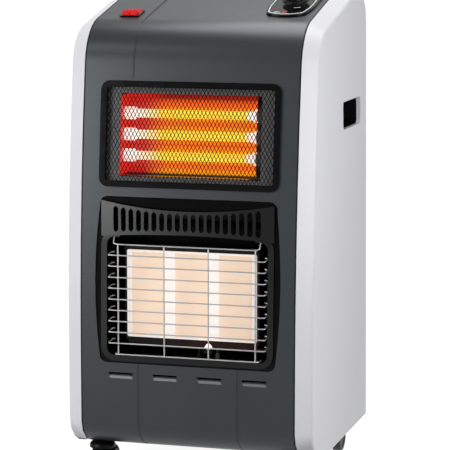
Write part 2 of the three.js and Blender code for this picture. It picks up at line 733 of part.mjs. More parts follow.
function burnerSurround() {
  const plate = skinBand(skinWall + seat, surroundBack, -sideX, sideX)
    .intersect(prismY(lowerOpening(surroundLap), frontY - 5, windowRearY));
  const rim = skinBand(-bezelProud + 1, surroundBack, -sideX, sideX)
    .intersect(prismY(mouthShape(ridgeWidth), frontY - 9, windowRearY));
  const hoodBackY = frontAt(hoodTopEnd) + surroundBack;
  const hood = hoodBlock(0, hoodBackY).intersect(prismY(hoodOutline(0, 0), frontY - 40, windowRearY));
  const air = hoodBlock(hoodWall, hoodBackY + 20)
    .intersect(prismY(hoodOutline(hoodWall, 20), frontY - 40, windowRearY));
  const slots = Array.from({ length: slotCount }, (_, i) =>
    hoodSlot((i - (slotCount - 1) / 2) * slotPitch));
  return cut(
    join(plate, rim, hood),
    prismY(mouthShape(0), frontY - 9, frontAt(mouthHigh) + 40).intersect(
      box(-sideX, sideX, frontY - 40, 0, 0, hoodLowMid)),
    air, ...slots);
}

// The recess behind the surround, a pressed tray with a flange
const shieldFrontY = frontAt(mouthLow) + surroundBack + seat;
const shieldHalf = mouthHalf + 2;
const shieldLow = mouthLow - 2;
const shieldHigh = hoodLowMid + 12;

function burnerShield() {
  const walls = cut(
    prismY(roundedRectangle(-shieldHalf - sheet, shieldHalf + sheet, shieldLow - sheet, shieldHigh + sheet, 10),
      shieldFrontY + 8, shieldBackY),
    prismY(roundedRectangle(-shieldHalf, shieldHalf, shieldLow, shieldHigh, 9), shieldFrontY - 1,
      shieldBackY - sheet),
    rod('x', pipeRadius + 1, 0, sideX, [manifoldY, manifoldZ]));
  const collar = cut(
    prismY(roundedRectangle(-shieldHalf - sheet, shieldHalf + sheet, shieldLow - sheet, shieldHigh + sheet, 10),
      shieldFrontY - 20, shieldFrontY + 9),
    prismY(roundedRectangle(-shieldHalf, shieldHalf, shieldLow, shieldHigh, 9), shieldFrontY - 21,
      shieldFrontY + 10),
    skinBand(-30, surroundBack + seat, -sideX, sideX));
  return join(walls, collar);
}

const plaqueX = [-plaquePitch, 0, plaquePitch];
const plaqueHigh = plaqueLow + plaqueHeight;

const plaque = () => box(
  -plaqueWidth / 2, plaqueWidth / 2, plaqueFaceY, plaqueFaceY + plaqueWall, plaqueLow, plaqueHigh);

function plaqueGasket() {
  const windows = plaqueX.map((x) => box(
    x - plaqueWidth / 2 - seat, x + plaqueWidth / 2 + seat, plaqueFaceY - 5, plaqueFaceY + 20,
    plaqueLow - seat, plaqueHigh + seat));
  return cut(
    prismY(roundedRectangle(-gasketHalf, gasketHalf, plaqueLow - gasketBorder, plaqueHigh + gasketBorder, 3),
      plaqueFaceY + 0.6, plaqueFaceY + 0.6 + gasketWall),
    ...windows);
}

// The burner's housing: a shallow cast box with three mixing chambers behind the plaques
function burnerBox() {
  const seatY = plaqueFaceY + plaqueWall + seat;
  const rimFrontY = plaqueFaceY + 2;
  const body = join(
    prismY(roundedRectangle(-burnerHalf, burnerHalf, burnerLow, burnerHigh, 6), rimFrontY, burnerBackY),
    box(-burnerHalf + 6, burnerHalf - 6, rimFrontY, rimFrontY + 2, burnerLow - burnerApron, burnerLow + 8));
  const pocket = prismY(roundedRectangle(
    -gasketHalf - seat, gasketHalf + seat, plaqueLow - gasketBorder - seat, plaqueHigh + gasketBorder + seat, 3),
    rimFrontY - 10, seatY);
  const chambers = plaqueX.map((x) => box(
    x - plaqueWidth / 2 + 4, x + plaqueWidth / 2 - 4, seatY - 1, burnerBackY - 2,
    plaqueLow + 4, plaqueHigh - 4));
  const inlets = plaqueX.map((x) => rod('z', injectorRadius + seat, burnerLow - 1, plaqueLow + 10,
    [x, manifoldY], 12));
  return cut(body, pocket, ...chambers, ...inlets);
}

function gasManifold() {
  const endX = plaquePitch + 20;
  const rail = rod('x', manifoldRadius, -endX, endX, [manifoldY, manifoldZ], 12);
  const injectors = plaqueX.map((x) => rod('z', injectorRadius, manifoldZ, plaqueLow, [x, manifoldY], 12));
  return join(rail, ...injectors);
}

// ---------------------------------------------------------------------------------------------
// Wires and pipes: a polyline with rounded corners, swept as a tube
// ---------------------------------------------------------------------------------------------
class WirePath extends THREE.Curve {
  constructor(points) {
    super();
    this.points = points;
  }

  getPoint(t, target = new THREE.Vector3()) {
    const place = THREE.MathUtils.clamp(t, 0, 1) * (this.points.length - 1);
    const index = Math.min(Math.floor(place), this.points.length - 2);
    return target.lerpVectors(this.points[index], this.points[index + 1], place - index);
  }

  getUtoTmapping(u) {
    return u;
  }
}

function rounded(corners, radius, steps = 2) {
  const points = corners.map(([x, y, z]) => new THREE.Vector3(x, y, z));
  const path = [points[0]];
  for (let i = 1; i < points.length - 1; i += 1) {
    const before = points[i - 1].clone().sub(points[i]);
    const after = points[i + 1].clone().sub(points[i]);
    const reach = Math.min(radius, before.length() / 2, after.length() / 2);
    const start = points[i].clone().addScaledVector(before.normalize(), reach);
    const end = points[i].clone().addScaledVector(after.normalize(), reach);
    const bend = new THREE.QuadraticBezierCurve3(start, points[i], end);
    path.push(...bend.getPoints(steps));
  }
  path.push(points[points.length - 1]);
  return path;
}

function wire(corners, radius, bendRadius, sides = 5) {
  const path = rounded(corners, bendRadius);
  const section = Array.from({ length: sides }, (_, i) => {
    const angle = 2 * Math.PI * (i + 0.5) / sides;
    return [radius * Math.cos(angle), radius * Math.sin(angle)];
  });
  return solid(new THREE.ExtrudeGeometry(shapeOf(section), {
    steps: path.length - 1, extrudePath: new WirePath(path), bevelEnabled: false }));
}

function wireGuard() {
  const postY = guardFaceY + 2 * wireRadius - 0.3;
  const pitch = (guardHigh - guardLow) / (guardBars + 1);
  const heights = Array.from({ length: guardBars }, (_, i) => guardLow + pitch * (i + 1));
  const bars = heights.map((z) => wire([
    [-guardHalf, guardFaceY + hookDepth, z], [-guardHalf, guardFaceY, z],
    [guardHalf, guardFaceY, z], [guardHalf, guardFaceY + hookDepth, z]], wireRadius, hookBend));
  const posts = guardPostX.map((x) => rod('z', wireRadius, guardLow, guardHigh, [x, postY], 5));
  const reach = guardPostX[3] + 6;
  const ends = [[guardLow, 0], [guardHigh, curlRise]].map(([z, rise]) => wire([
    [-reach, guardFaceY + hookDepth, z + rise], [-reach, guardFaceY, z + rise / 2],
    [-reach + 8, guardFaceY, z], [reach - 8, guardFaceY, z],
    [reach, guardFaceY, z + rise / 2], [reach, guardFaceY + hookDepth, z + rise]], wireRadius, hookBend));
  return join(...bars, ...posts, ...ends);
}

function gasPipe() {
  const startX = plaquePitch + 20 + seat;
  const valve = new THREE.Vector3(0, -valveHalfY - seat, -skinWall - seat - valveHeight / 2)
    .applyMatrix4(topFrame(knobX, knobY));
  const overZ = bulkheadHigh + pipeRadius + 1.5;
  return wire([
    [startX, manifoldY, manifoldZ], [pipeX, manifoldY, manifoldZ], [pipeX, manifoldY, overZ],
    [knobX, bulkheadY - 10, overZ], [knobX, valve.y - 12, valve.z - 3], [knobX, valve.y, valve.z]],
    pipeRadius, pipeBend, 8);
}

// ---------------------------------------------------------------------------------------------
// Pilot, thermocouple and igniter on the floor of the recess
// ---------------------------------------------------------------------------------------------
const pilotX = 30;
const pilotY = -176;
const pilotFloor = shieldLow + seat;

function pilotBurner() {
  const foot = box(pilotX - 9, pilotX + 9, pilotY - 6, pilotY + 6, pilotFloor, pilotFloor + 1.5);
  const stalk = rod('z', 3, pilotFloor + 1, pilotFloor + 8, [pilotX, pilotY], 10);
  const head = rod('x', 4, pilotX - 7, pilotX + 7, [pilotY, pilotFloor + 9], 12);
  const slot = box(pilotX - 5, pilotX + 5, pilotY - 1, pilotY + 1, pilotFloor + 10, pilotFloor + 20);
  return cut(join(foot, stalk, head), slot);
}

function thermocouple() {
  const x = pilotX - 15;
  return join(
    rod('z', 3.2, pilotFloor, pilotFloor + 6, [x, pilotY], 10),
    rod('z', 1.6, pilotFloor + 5, pilotFloor + 15, [x, pilotY], 8));
}

function ignitionElectrode() {
  const x = pilotX + 15;
  return join(
    rod('z', 3.4, pilotFloor, pilotFloor + 9, [x, pilotY], 10),
    wire([[x, pilotY, pilotFloor + 8], [x, pilotY, pilotFloor + 14], [x - 6, pilotY, pilotFloor + 15]], 0.9, 2));
}

// ---------------------------------------------------------------------------------------------
// Base, bulkhead, rear rail and cover
// ---------------------------------------------------------------------------------------------
const innerSideX = sideX - sideWall - seat;
const casterPlaces = [
  ['front_left', -casterX, casterFrontY], ['front_right', casterX, casterFrontY],
  ['rear_left', -casterX, casterRearY], ['rear_right', casterX, casterRearY]];

function basePlate() {
  const rearY = rearAt(baseZ + baseRim) - coverTuck - seat;
  const plate = box(-innerSideX, innerSideX, baseFrontY, rearY, baseZ, baseZ + skinWall);
  const rims = [
    box(-innerSideX, innerSideX, baseFrontY, baseFrontY + sheet, baseZ, baseZ + baseRim),
    box(-innerSideX, innerSideX, rearY - sheet, rearY, baseZ, baseZ + baseRim),
    box(-innerSideX, -innerSideX + sheet, baseFrontY, rearY, baseZ, baseZ + baseRim),
    box(innerSideX - sheet, innerSideX, baseFrontY, rearY, baseZ, baseZ + baseRim)];
  const sockets = casterPlaces.map(([, x, y]) =>
    rod('z', stemRadius + seat + socketWall, baseZ, baseZ + stemReach + 3, [x, y], 12));
  const bores = casterPlaces.map(([, x, y]) =>
    rod('z', stemRadius + seat, baseZ - 1, baseZ + stemReach + seat, [x, y], 12));
  const pad = box(-padHalf, padHalf, bulkheadY + sheet + padMargin, rearY - sheet - padMargin,
    baseZ + skinWall - 1, baseZ + skinWall + padHeight);
  return cut(join(plate, pad, ...rims, ...sockets), ...bores);
}

// The wall between the heaters and the bottle, stiffened by folded edges
function bulkhead() {
  const low = baseZ + skinWall + seat;
  const half = innerSideX;
  const footHalf = half - sheet - seat;
  const wall = join(
    box(-half, half, bulkheadY, bulkheadY + sheet, low + baseRim, bulkheadHigh),
    box(-footHalf, footHalf, bulkheadY, bulkheadY + sheet, low, low + baseRim + 1));
  const folds = [-1, 1].map((side) => box(
    Math.min(side * half, side * (half - sheet)), Math.max(side * half, side * (half - sheet)),
    bulkheadY, bulkheadY + flangeWidth, low + baseRim, bulkheadHigh));
  const topFold = box(-half, half, bulkheadY, bulkheadY + flangeWidth, bulkheadHigh - sheet, bulkheadHigh);
  return join(wall, ...folds, topFold);
}

// The rail under the rear corner, which the cover's upper edge closes against
function rearRail() {
  const inset = skinWall + seat;
  const half = seamX - tongueWidth - seat;
  const low = coverHigh + seat;
  const rearY = rearAt(low) - inset;
  const strip = shapeOf([
    ...skinCurve(inset), [rearY, low],
    [rearY - railDepth, low], [rearY - railDepth, low + sheet], [rearY - sheet, low + sheet],
    ...skinCurve(inset + sheet).reverse()]);
  return prismX(strip, -half, half).intersect(
    box(-half, half, rearAt(topHeight) - railDepth - 20, rearFootY, low, topAt(rearFootY)));
}

function backCover() {
  const half = seamX - seat;
  const outline = (wall) => shapeOf([
    [rearAt(coverLow) - coverTuck - 20 * Math.sign(wall), coverLow + wall],
    [coverBackY - wall, coverLow + wall],
    [coverBackY - wall, coverHigh - 24 - wall],
    [coverBackY - 20 - wall, coverHigh - wall],
    [rearAt(coverHigh) - coverTuck - 20 * Math.sign(wall), coverHigh - wall]]);
  const tray = cut(
    prismX(outline(0), -half, half),
    prismX(outline(coverWall), -half + coverWall, half - coverWall));
  const firstVents = [coverLow + ventMargin, coverHigh - ventMargin - (ventCount - 1) * ventPitch];
  const vents = firstVents.flatMap((z) => Array.from({ length: ventCount }, (_, i) => [-1, 1].map((side) =>
    box(side * ventX - ventLength / 2, side * ventX + ventLength / 2, coverBackY - 10, coverBackY + 5,
      z + i * ventPitch - ventHeight / 2, z + i * ventPitch + ventHeight / 2)))).flat();
  return cut(tray, ...vents);
}

// ---------------------------------------------------------------------------------------------
// Controls, drawn flat: z = 0 is the top skin, +y climbs the slope
// ---------------------------------------------------------------------------------------------
function controlPlate() {
  const front = plateFrontWidth / 2;
  const rear = plateRearWidth / 2;
  const nearY = plateFrontY - knobY;
  const farY = plateRearY - knobY;
  const corners = [
    [-front, nearY + plateBow], [-front / 3, nearY], [front / 3, nearY], [front, nearY + plateBow],
    [rear, nearY + 5 * plateBow], [rear, farY], [-rear, farY], [-rear, nearY + 5 * plateBow]]
    .map(([x, y]) => [x + plateOffset, y / Math.cos(topRise), 0]);
  const loop = [...corners, corners[0], corners[1]];
  const outline = rounded(loop, plateCorner, 3).slice(1, -1).map((p) => [p.x, p.y]);
  return cut(
    prismZ(shapeOf(outline), seat, seat + plateWall),
    rod('z', valveNeck + seat, -1, 5));
}

const plateTop = seat + plateWall;
const knobLow = plateTop + pushGap;

function controlKnob() {
  const fluted = Array.from({ length: knobFlutes * 4 }, (_, i) => {
    const angle = 2 * Math.PI * i / (knobFlutes * 4);
    const radius = knobGripRadius - (i % 4 === 0 ? 1.6 : 0);
    return [radius * Math.cos(angle), radius * Math.sin(angle)];
  });
  const skirt = turned([
    [0, knobLow], [knobRadius - 0.8, knobLow], [knobRadius, knobLow + 1],
    [knobRadius - 1, knobLow + knobFlange], [0, knobLow + knobFlange]], 32);
  const grip = prismZ(shapeOf(fluted), knobLow + knobFlange - 1, knobLow + knobHeight);
  const pointer = box(-1.5, 1.5, -knobGripRadius - 2, 0, knobLow + 2, knobLow + knobHeight + 1.5);
  return cut(
    join(skirt, grip, pointer),
    rod('z', spindleRadius + seat, knobLow - 1, knobLow + knobHeight - 6, [0, 0], 12));
}

const valveSpindle = () => join(
  rod('z', spindleRadius, -spindleReach, knobLow + knobHeight - 6 - seat, [0, 0], 12),
  rod('z', spindleRadius + 1.5, -skinWall - 4, -skinWall - 2, [0, 0], 12));

function gasValve() {
  const top = -skinWall - seat;
  const body = prismZ(roundedRectangle(-valveHalfX, valveHalfX, -valveHalfY, valveHalfY, 5),
    top - valveHeight, top);
  const neck = rod('z', valveNeck, top - 2, seat + plateWall - 1.5);
  const nozzle = rod('y', nozzleRadius, valveHalfY - 2, valveHalfY + 24, [0, top - valveHeight / 2], 12);
  const barb = rod('y', nozzleRadius + 1.5, valveHalfY + 18, valveHalfY + 21, [0, top - valveHeight / 2], 12);
  return cut(
    join(body, neck, nozzle, barb),
    rod('z', spindleRadius + seat, -spindleReach - pushTravel - 1, 10, [0, 0], 12),
    rod('z', spindleRadius + 1.5 + seat, -skinWall - 4 - pushTravel - 1, -skinWall - 2 + seat, [0, 0], 12));
}

function switchHousing() {
  const halfX = switchWidth / 2;
  const halfY = switchLength / 2;
  const inside = switchRim + seat;
  const rim = prismZ(roundedRectangle(-halfX, halfX, -halfY, halfY, 3), seat, seat + switchRimHeight);
  const body = box(-halfX + inside, halfX - inside, -halfY + inside, halfY - inside, -switchDepth, seat + 1);
  const wells = [-1, 1].map((side) => box(
    side * rockerPlace - rockerWidth / 2 - rockerGap, side * rockerPlace + rockerWidth / 2 + rockerGap,
    -rockerLength / 2 - rockerGap, rockerLength / 2 + rockerGap, -rockerWell, 10));
  const bearing = rod('x', trunnionRadius + 0.1, -halfX + inside + 0.3, halfX - inside - 0.3,
    [0, rockerPivotZ], 8);
  return cut(join(rim, body), ...wells, bearing);
}

const rockerPlace = rockerWidth / 2 + rockerGap + rockerDivide / 2;
const rockerPivotZ = seat - trunnionRadius - 0.3;
const rockerWell = 15;

// A rocker seen from its end: two flats that meet in a valley, over a rounded belly.
// It rests with its rear end pressed.
function rocker() {
  const half = rockerLength / 2 - 1.2;
  const belly = arc([0, 0], half, 9, Math.PI, 2 * Math.PI, 8);
  const profile = shapeOf([...belly, [half, rockerCrest], [0, 2.2], [-half, rockerCrest]]);
  const body = prismX(profile, -rockerWidth / 2, rockerWidth / 2);
  const reach = rockerWidth / 2 + rockerGap + rockerDivide / 2 - 0.15;
  const trunnion = rod('x', trunnionRadius, -reach, reach, [0, 0], 8);
  const tilt = new THREE.Matrix4().makeRotationX(-rockerThrow);
  return placed(join(body, trunnion), tilt);
}

// ---------------------------------------------------------------------------------------------
// Casters: a hooded fork on a stem, and a pair of wheels on one axle
// ---------------------------------------------------------------------------------------------
const canopyInner = wheelRadius + hoodClear;
const canopyOuter = canopyInner + casterWall;
const casterHalf = wheelWidth + wheelGap / 2;

function casterFork() {
  const low = 0.06 * Math.PI;
  const high = 0.9 * Math.PI;
  const sector = shapeOf([[0, 0], ...arc([0, 0], 2 * canopyOuter, 2 * canopyOuter, low, high, 4)]);
  const profile = [
    [canopyOuter - casterShoulder, casterHalf], [canopyOuter, casterHalf - casterShoulder],
    [canopyOuter, casterShoulder - casterHalf], [canopyOuter - casterShoulder, -casterHalf]];
  const ends = [[0, -casterHalf], [0, casterHalf]];
  const ring = cut(
    turned([ends[0], ...profile.reverse(), ends[1]], 16, 'x'),
    rod('x', canopyInner, -casterHalf - 1, casterHalf + 1));
  const hood = ring.intersect(prismX(sector, -casterHalf - 1, casterHalf + 1));
  const webHalf = wheelGap / 2 - 1;
  const web = shapeOf([
    ...arc([0, 0], canopyInner + 1.5, canopyInner + 1.5, low, high, 7), [-8, -6], [6, -6]]);
  const forkTop = baseZ - seat - wheelRadius;
  const stem = rod('z', stemRadius, 15, forkTop + seat + stemReach, [0, -trail], 12);
  const bellLow = canopyInner + 0.5;
  const bell = turned([
    [0, bellLow], [bellRadius, bellLow], [bellRadius, bellLow + 5], [bellRadius - 4, forkTop - 4],
    [collarRadius, forkTop - 1.2], [collarRadius, forkTop], [0, forkTop]], 14).translate([0, -trail, 0]);
  return cut(
    join(hood, prismX(web, -webHalf, webHalf),
      cut(join(stem, bell), rod('x', bellLow, -casterHalf, casterHalf))),
    rod('x', axleRadius + seat, -casterHalf, casterHalf, [0, 0], 12));
}

function casterWheels() {
  const inner = wheelGap / 2;
  const outer = inner + wheelWidth;
  const half = [
    [axleRadius, inner], [wheelRadius, inner], [wheelRadius, outer - 3], [wheelRadius - 3, outer], [0, outer]];
  const mirrored = half.map(([radius, x]) => [radius, -x]).reverse();
  return turned([...mirrored, ...half], 16, 'x');
}

// ---------------------------------------------------------------------------------------------
// Assembly
// ---------------------------------------------------------------------------------------------
const heater = new THREE.Group();

const sideSolid = sidePanel();
const cupSolid = gripCup();
heater.add(
  node('side_panel_right', materials.pearl, sideSolid),
  node('side_panel_left', materials.pearl, mirrorX(sideSolid)),
  node('grip_cup_right', materials.blackPlastic, cupSolid),
  node('grip_cup_left', materials.blackPlastic, mirrorX(cupSolid)),
  node('front_panel', materials.slate, frontPanel()),
  node('base_plate', materials.blackMetal, basePlate()),
  node('bulkhead', materials.steel, bulkhead()),
  node('rear_rail', materials.blackMetal, rearRail()),
  node('back_cover', materials.blackMetal, backCover()),
  node('upper_bezel', materials.blackPlastic, upperBezel()),
  node('burner_surround', materials.blackPlastic, burnerSurround()),
  node('burner_shield', materials.blackMetal, burnerShield()),
  node('burner_housing', materials.blackMetal, burnerBox()),
  node('plaque_gasket', materials.ceramic, plaqueGasket()),
  node('gas_manifold', materials.brass, gasManifold()),
  node('gas_pipe', materials.steel, gasPipe()),
  node('wire_guard', materials.chrome, wireGuard()),
  node('pilot_burner', materials.brass, pilotBurner()),
  node('thermocouple', materials.steel, thermocouple()),
  node('ignition_electrode', materials.ceramic, ignitionElectrode()));

['left', 'centre', 'right'].forEach((side, i) => {
  const mesh = node(`plaque_${side}`, materials.plaque, plaque());
  mesh.position.x = plaqueX[i];
  heater.add(mesh);
});

const electric = new THREE.Group();
electric.position.set(0, frontAt(upperMidZ), upperMidZ);
electric.rotation.x = -upperLean;
electric.add(
  node('mesh_guard', materials.blackMetal, meshGuard()),
  node('reflector', materials.steel, upperReflector()));
['upper', 'middle', 'lower'].forEach((row, i) => {
  const unit = new THREE.Group();
  unit.position.set(0, tubeDepth, tubeRows[i]);
  unit.add(
    node(`quartz_tube_${row}`, materials.quartz, quartzTube()),
    node(`heating_coil_${row}`, materials.glow, heatingCoil()));
  const cap = endCap();
  unit.add(
    node(`end_cap_${row}_right`, materials.ceramic, cap),
    node(`end_cap_${row}_left`, materials.ceramic, mirrorX(cap)));
  electric.add(unit);
});
heater.add(electric);

const gasControls = new THREE.Group();
gasControls.applyMatrix4(topFrame(knobX, knobY));
gasControls.add(
  node('control_plate', materials.blackPlastic, controlPlate()),
  node('gas_valve', materials.brass, gasValve()),
  node('valve_spindle', materials.steel, valveSpindle()),
  node('control_knob', materials.blackPlastic, controlKnob()));
heater.add(gasControls);

const switchControls = new THREE.Group();
switchControls.applyMatrix4(topFrame(switchX, switchY));
switchControls.add(node('switch_housing', materials.blackPlastic, switchHousing()));
[['rocker_left', -1], ['rocker_right', 1]].forEach(([name, side]) => {
  const mesh = node(name, materials.red, rocker());
  mesh.position.set(side * rockerPlace, 0, rockerPivotZ);
  switchControls.add(mesh);
});
heater.add(switchControls);

casterPlaces.forEach(([name, x, y]) => {
  const turn = y < 0 ? 1 : -1;      // front wheels trail to the rear, rear wheels to the front
  const caster = new THREE.Group();
  caster.position.set(x, y + turn * trail, wheelRadius);
  caster.rotation.z = turn < 0 ? Math.PI : 0;
  caster.add(
    node(`caster_fork_${name}`, materials.blackPlastic, casterFork()),
    node(`caster_wheels_${name}`, materials.rubber, casterWheels()));
  heater.add(caster);
});

// The origin lies under the middle of the bounding box
const extent = new THREE.Box3().setFromObject(heater, true).getCenter(new THREE.Vector3());
heater.position.set(-extent.x, -extent.y, 0);
const model = new THREE.Group();
model.add(heater);

export default model;
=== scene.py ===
"""Looks of a cabinet heater: gas plaques behind a wire guard, quartz tubes above, on twin-wheel casters."""
import json
import math

import bmesh
import bpy
from mathutils import Euler, Matrix, Vector


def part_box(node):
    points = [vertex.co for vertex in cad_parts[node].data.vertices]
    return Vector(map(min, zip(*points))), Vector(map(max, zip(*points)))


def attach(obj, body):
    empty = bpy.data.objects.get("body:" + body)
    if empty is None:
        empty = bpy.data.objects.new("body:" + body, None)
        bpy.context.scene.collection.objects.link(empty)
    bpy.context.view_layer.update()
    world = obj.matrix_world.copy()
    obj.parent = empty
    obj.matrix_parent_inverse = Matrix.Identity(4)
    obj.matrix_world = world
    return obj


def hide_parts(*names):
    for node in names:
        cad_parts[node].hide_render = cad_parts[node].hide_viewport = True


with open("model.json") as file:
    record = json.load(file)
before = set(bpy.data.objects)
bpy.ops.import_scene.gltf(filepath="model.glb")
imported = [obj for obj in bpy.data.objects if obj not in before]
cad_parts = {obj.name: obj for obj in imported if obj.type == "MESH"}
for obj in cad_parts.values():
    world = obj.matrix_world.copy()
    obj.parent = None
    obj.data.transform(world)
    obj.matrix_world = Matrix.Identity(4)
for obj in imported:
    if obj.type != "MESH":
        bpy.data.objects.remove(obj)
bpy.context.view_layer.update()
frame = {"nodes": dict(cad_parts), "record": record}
nodes = frame["nodes"]
bodies = frame["record"]["behaviour"]["bodies"]
body_of = {name: body for body, members in bodies.items() for name in members}
slot_of = {part["node"]: part["material_slot"] for part in frame["record"]["subparts"]}
MM = 0.001

# the drawing's own middle sits this far from the frame's, along Y
SHIFT_Y = -3.745 * MM
# the sloping top: its angle, and its height over the middle
TOP_SLOPE = math.radians(13.2)
TOP_HEIGHT = 765.5 * MM
# the front skin: the radius of its bow, its foremost plane and the height where the bow starts
SKIN_BOW = 3360 * MM
SKIN_FRONT = -196 * MM + SHIFT_Y
BOW_START = 213 * MM
# the lower edge of the louvres in the front
LOUVRE_FOOT = 179.5 * MM
# where the knob's axis leaves the top, in millimetres
KNOB_SPOT = (130, -22)
# from one quartz tube to the next
TUBE_PITCH = 32.6 * MM


# ------------------------------------------------------------------------------------ camera
def place_camera():
    """A long lens a little above the top, in front and to the right; the photograph crops top and foot."""
    data = bpy.data.cameras.new("photo_view")
    data.sensor_width = 36
    data.lens = 170.46
    data.clip_start = 0.1
    data.clip_end = 200
    camera = bpy.data.objects.new("photo_view", data)
    camera.location = (0.9570, -3.3129 + SHIFT_Y, 0.9114)
    camera.rotation_euler = Euler((math.radians(81.576), 0, math.radians(16.009)))
    bpy.context.collection.objects.link(camera)
    bpy.context.scene.camera = camera


# --------------------------------------------------------------------------------- materials
def linear(code):
    """An sRGB hex value as linear RGBA."""
    parts = [int(code[i:i + 2], 16) / 255 for i in (1, 3, 5)]
    return [c / 12.92 if c <= 0.04045 else ((c + 0.055) / 1.055) ** 2.4 for c in parts] + [1.0]


def put(tree, kind, links=None, **settings):
    """Adds a node, with its settings and what goes into its sockets."""
    node = tree.nodes.new(kind)
    for name, value in settings.items():
        setattr(node, name, value)
    for socket, value in (links or {}).items():
        if isinstance(value, bpy.types.NodeSocket):
            tree.links.new(value, node.inputs[socket])
        else:
            node.inputs[socket].default_value = value
    return node


def start(name, colour, roughness, metallic=0.0, **sockets):
    """A material with its shader's plain values; returns it with its tree and its object coordinates."""
    material = bpy.data.materials.new(name)
    material.use_nodes = True
    tree = material.node_tree
    shader = tree.nodes["Principled BSDF"]
    shader.inputs["Base Color"].default_value = linear(colour)
    shader.inputs["Roughness"].default_value = roughness
    shader.inputs["Metallic"].default_value = metallic
    for socket, value in sockets.items():
        shader.inputs[socket.replace("_", " ")].default_value = value
    return material, tree, put(tree, "ShaderNodeTexCoord").outputs["Object"]


def feed(tree, **sockets):
    """Links outputs into the shader's sockets."""
    shader = tree.nodes["Principled BSDF"]
    for socket, output in sockets.items():
        tree.links.new(output, shader.inputs[socket.replace("_", " ")])


def grain(tree, place, size, detail, tones=(), gloss=(), relief=0.0):
    """One noise of a size in millimetres moves the tone, the gloss and the relief of a finish."""
    noise = put(tree, "ShaderNodeTexNoise",
                {"Vector": place, "Scale": 1 / (size * MM), "Detail": detail}).outputs["Fac"]
    if tones:
        feed(tree, Base_Color=put(tree, "ShaderNodeMix", {"Factor": noise, 6: linear(tones[0]), 7: linear(tones[1])},
                                  data_type="RGBA").outputs[2])
    if gloss:
        feed(tree, Roughness=put(tree, "ShaderNodeMapRange",
                                 {"Value": noise, "To Min": gloss[0], "To Max": gloss[1]}).outputs["Result"])
    if relief:
        feed(tree, Normal=put(tree, "ShaderNodeBump", {"Height": noise, "Distance": relief * MM}).outputs["Normal"])


def plain_finish(name, colour, roughness, metallic, size, detail, tones=(), gloss=(), relief=0.0, **sockets):
    """A finish with nothing but its grain."""
    material, tree, place = start(name, colour, roughness, metallic, **sockets)
    grain(tree, place, size, detail, tones, gloss, relief)
    return material


def pearl_paint():
    """Pearl light grey baked enamel on sheet steel: satin, with a fine orange peel."""
    material, tree, place = start(
        "pearl_baked_enamel", "#dcdcdf", 0.4, 0.0, Coat_Weight=0.2, Coat_Roughness=0.3)
    # the coat's tone drifts over about 200 mm
    cloud = put(tree, "ShaderNodeTexNoise", {"Vector": place, "Scale": 1 / 0.2, "Detail": 2.0}).outputs["Fac"]
    tone = put(tree, "ShaderNodeMix", {"Factor": cloud, 6: linear("#d7d7da"), 7: linear("#e0e0e3")},
               data_type="RGBA").outputs[2]
    feed(tree, Base_Color=tone)
    # orange peel of baked enamel, about 2 mm across and 0.04 mm deep
    grain(tree, place, 2.2, 2.0, gloss=(0.34, 0.44), relief=0.04)
    return material


def slate_paint():
    """Dark grey metallic baked enamel: a satin coat over fine aluminium flecks."""
    material, tree, place = start(
        "slate_metallic_enamel", "#474a4d", 0.36, 0.62, Coat_Weight=0.15, Coat_Roughness=0.3)
    # real flecks are about 0.05 mm; these are 1.2 mm so that they show
    flecks = put(tree, "ShaderNodeTexVoronoi", {"Vector": place, "Scale": 1 / 0.0012}).outputs["Distance"]
    cloud = put(tree, "ShaderNodeTexNoise", {"Vector": place, "Scale": 6.0, "Detail": 2.0}).outputs["Fac"]
    mixed = put(tree, "ShaderNodeMath", {0: flecks, 1: cloud}, operation="MULTIPLY").outputs[0]
    tone = put(tree, "ShaderNodeMix", {"Factor": mixed, 6: linear("#4d5053"), 7: linear("#414447")},
               data_type="RGBA").outputs[2]
    # painted highlight: the pressed slopes under the louvres, where they face up, are painted lighter as if lit from
    # above
    part = put(tree, "ShaderNodeSeparateXYZ", {"Vector": place})
    facing = put(tree, "ShaderNodeSeparateXYZ", {"Vector": put(tree, "ShaderNodeNewGeometry").outputs["Normal"]})
    slope = put(tree, "ShaderNodeMapRange",
                {"Value": facing.outputs["Z"], "From Min": 0.1, "From Max": 0.25}).outputs["Result"]
    low = put(tree, "ShaderNodeMapRange",
              {"Value": part.outputs["Z"], "From Min": LOUVRE_FOOT + 3 * MM, "From Max": LOUVRE_FOOT + 4.6 * MM,
               "To Min": 1.0, "To Max": 0.0}).outputs["Result"]
    painted_slope_highlight = put(tree, "ShaderNodeMath", {0: slope, 1: low}, operation="MULTIPLY").outputs[0]
    tone = put(tree, "ShaderNodeMix", {"Factor": painted_slope_highlight, 6: tone, 7: linear("#8a8d90")}, data_type="RGBA").outputs[2]
    feed(tree, Base_Color=tone)
    grain(tree, place, 2, 2.0, gloss=(0.32, 0.42), relief=0.04)
    return material


def black_moulding():
    """Black ABS moulded in a finely sparked tool: satin, with a grain of about half a millimetre."""
    return plain_finish("black_moulded_abs", "#0a0a0b", 0.36, 0.0, 0.7, 3.0, gloss=(0.30, 0.46), relief=0.05,
                        Specular_IOR_Level=0.2)


def gloss_moulding(name="black_polished_abs", level=0.2):
    """Black ABS from a polished tool: glossy, with faint flow marks."""
    return plain_finish(name, "#070708", 0.2, 0.0, 12, 3.0, gloss=(0.12, 0.24), Specular_IOR_Level=level)


def stove_black():
    """Heat resistant black enamel on pressed steel: semi-gloss, a little uneven."""
    material, tree, place = start("stove_black_enamel", "#050505", 0.34, Specular_IOR_Level=0.12)
    cloud = put(tree, "ShaderNodeTexNoise", {"Vector": place, "Scale": 1 / 0.03, "Detail": 3.0}).outputs["Fac"]
    tone = put(tree, "ShaderNodeMix", {"Factor": cloud, 6: linear("#030303"), 7: linear("#070708")},
               data_type="RGBA").outputs[2]
    feed(tree, Base_Color=tone)
    grain(tree, place, 1.8, 2.0, gloss=(0.24, 0.36), relief=0.05)
    return material


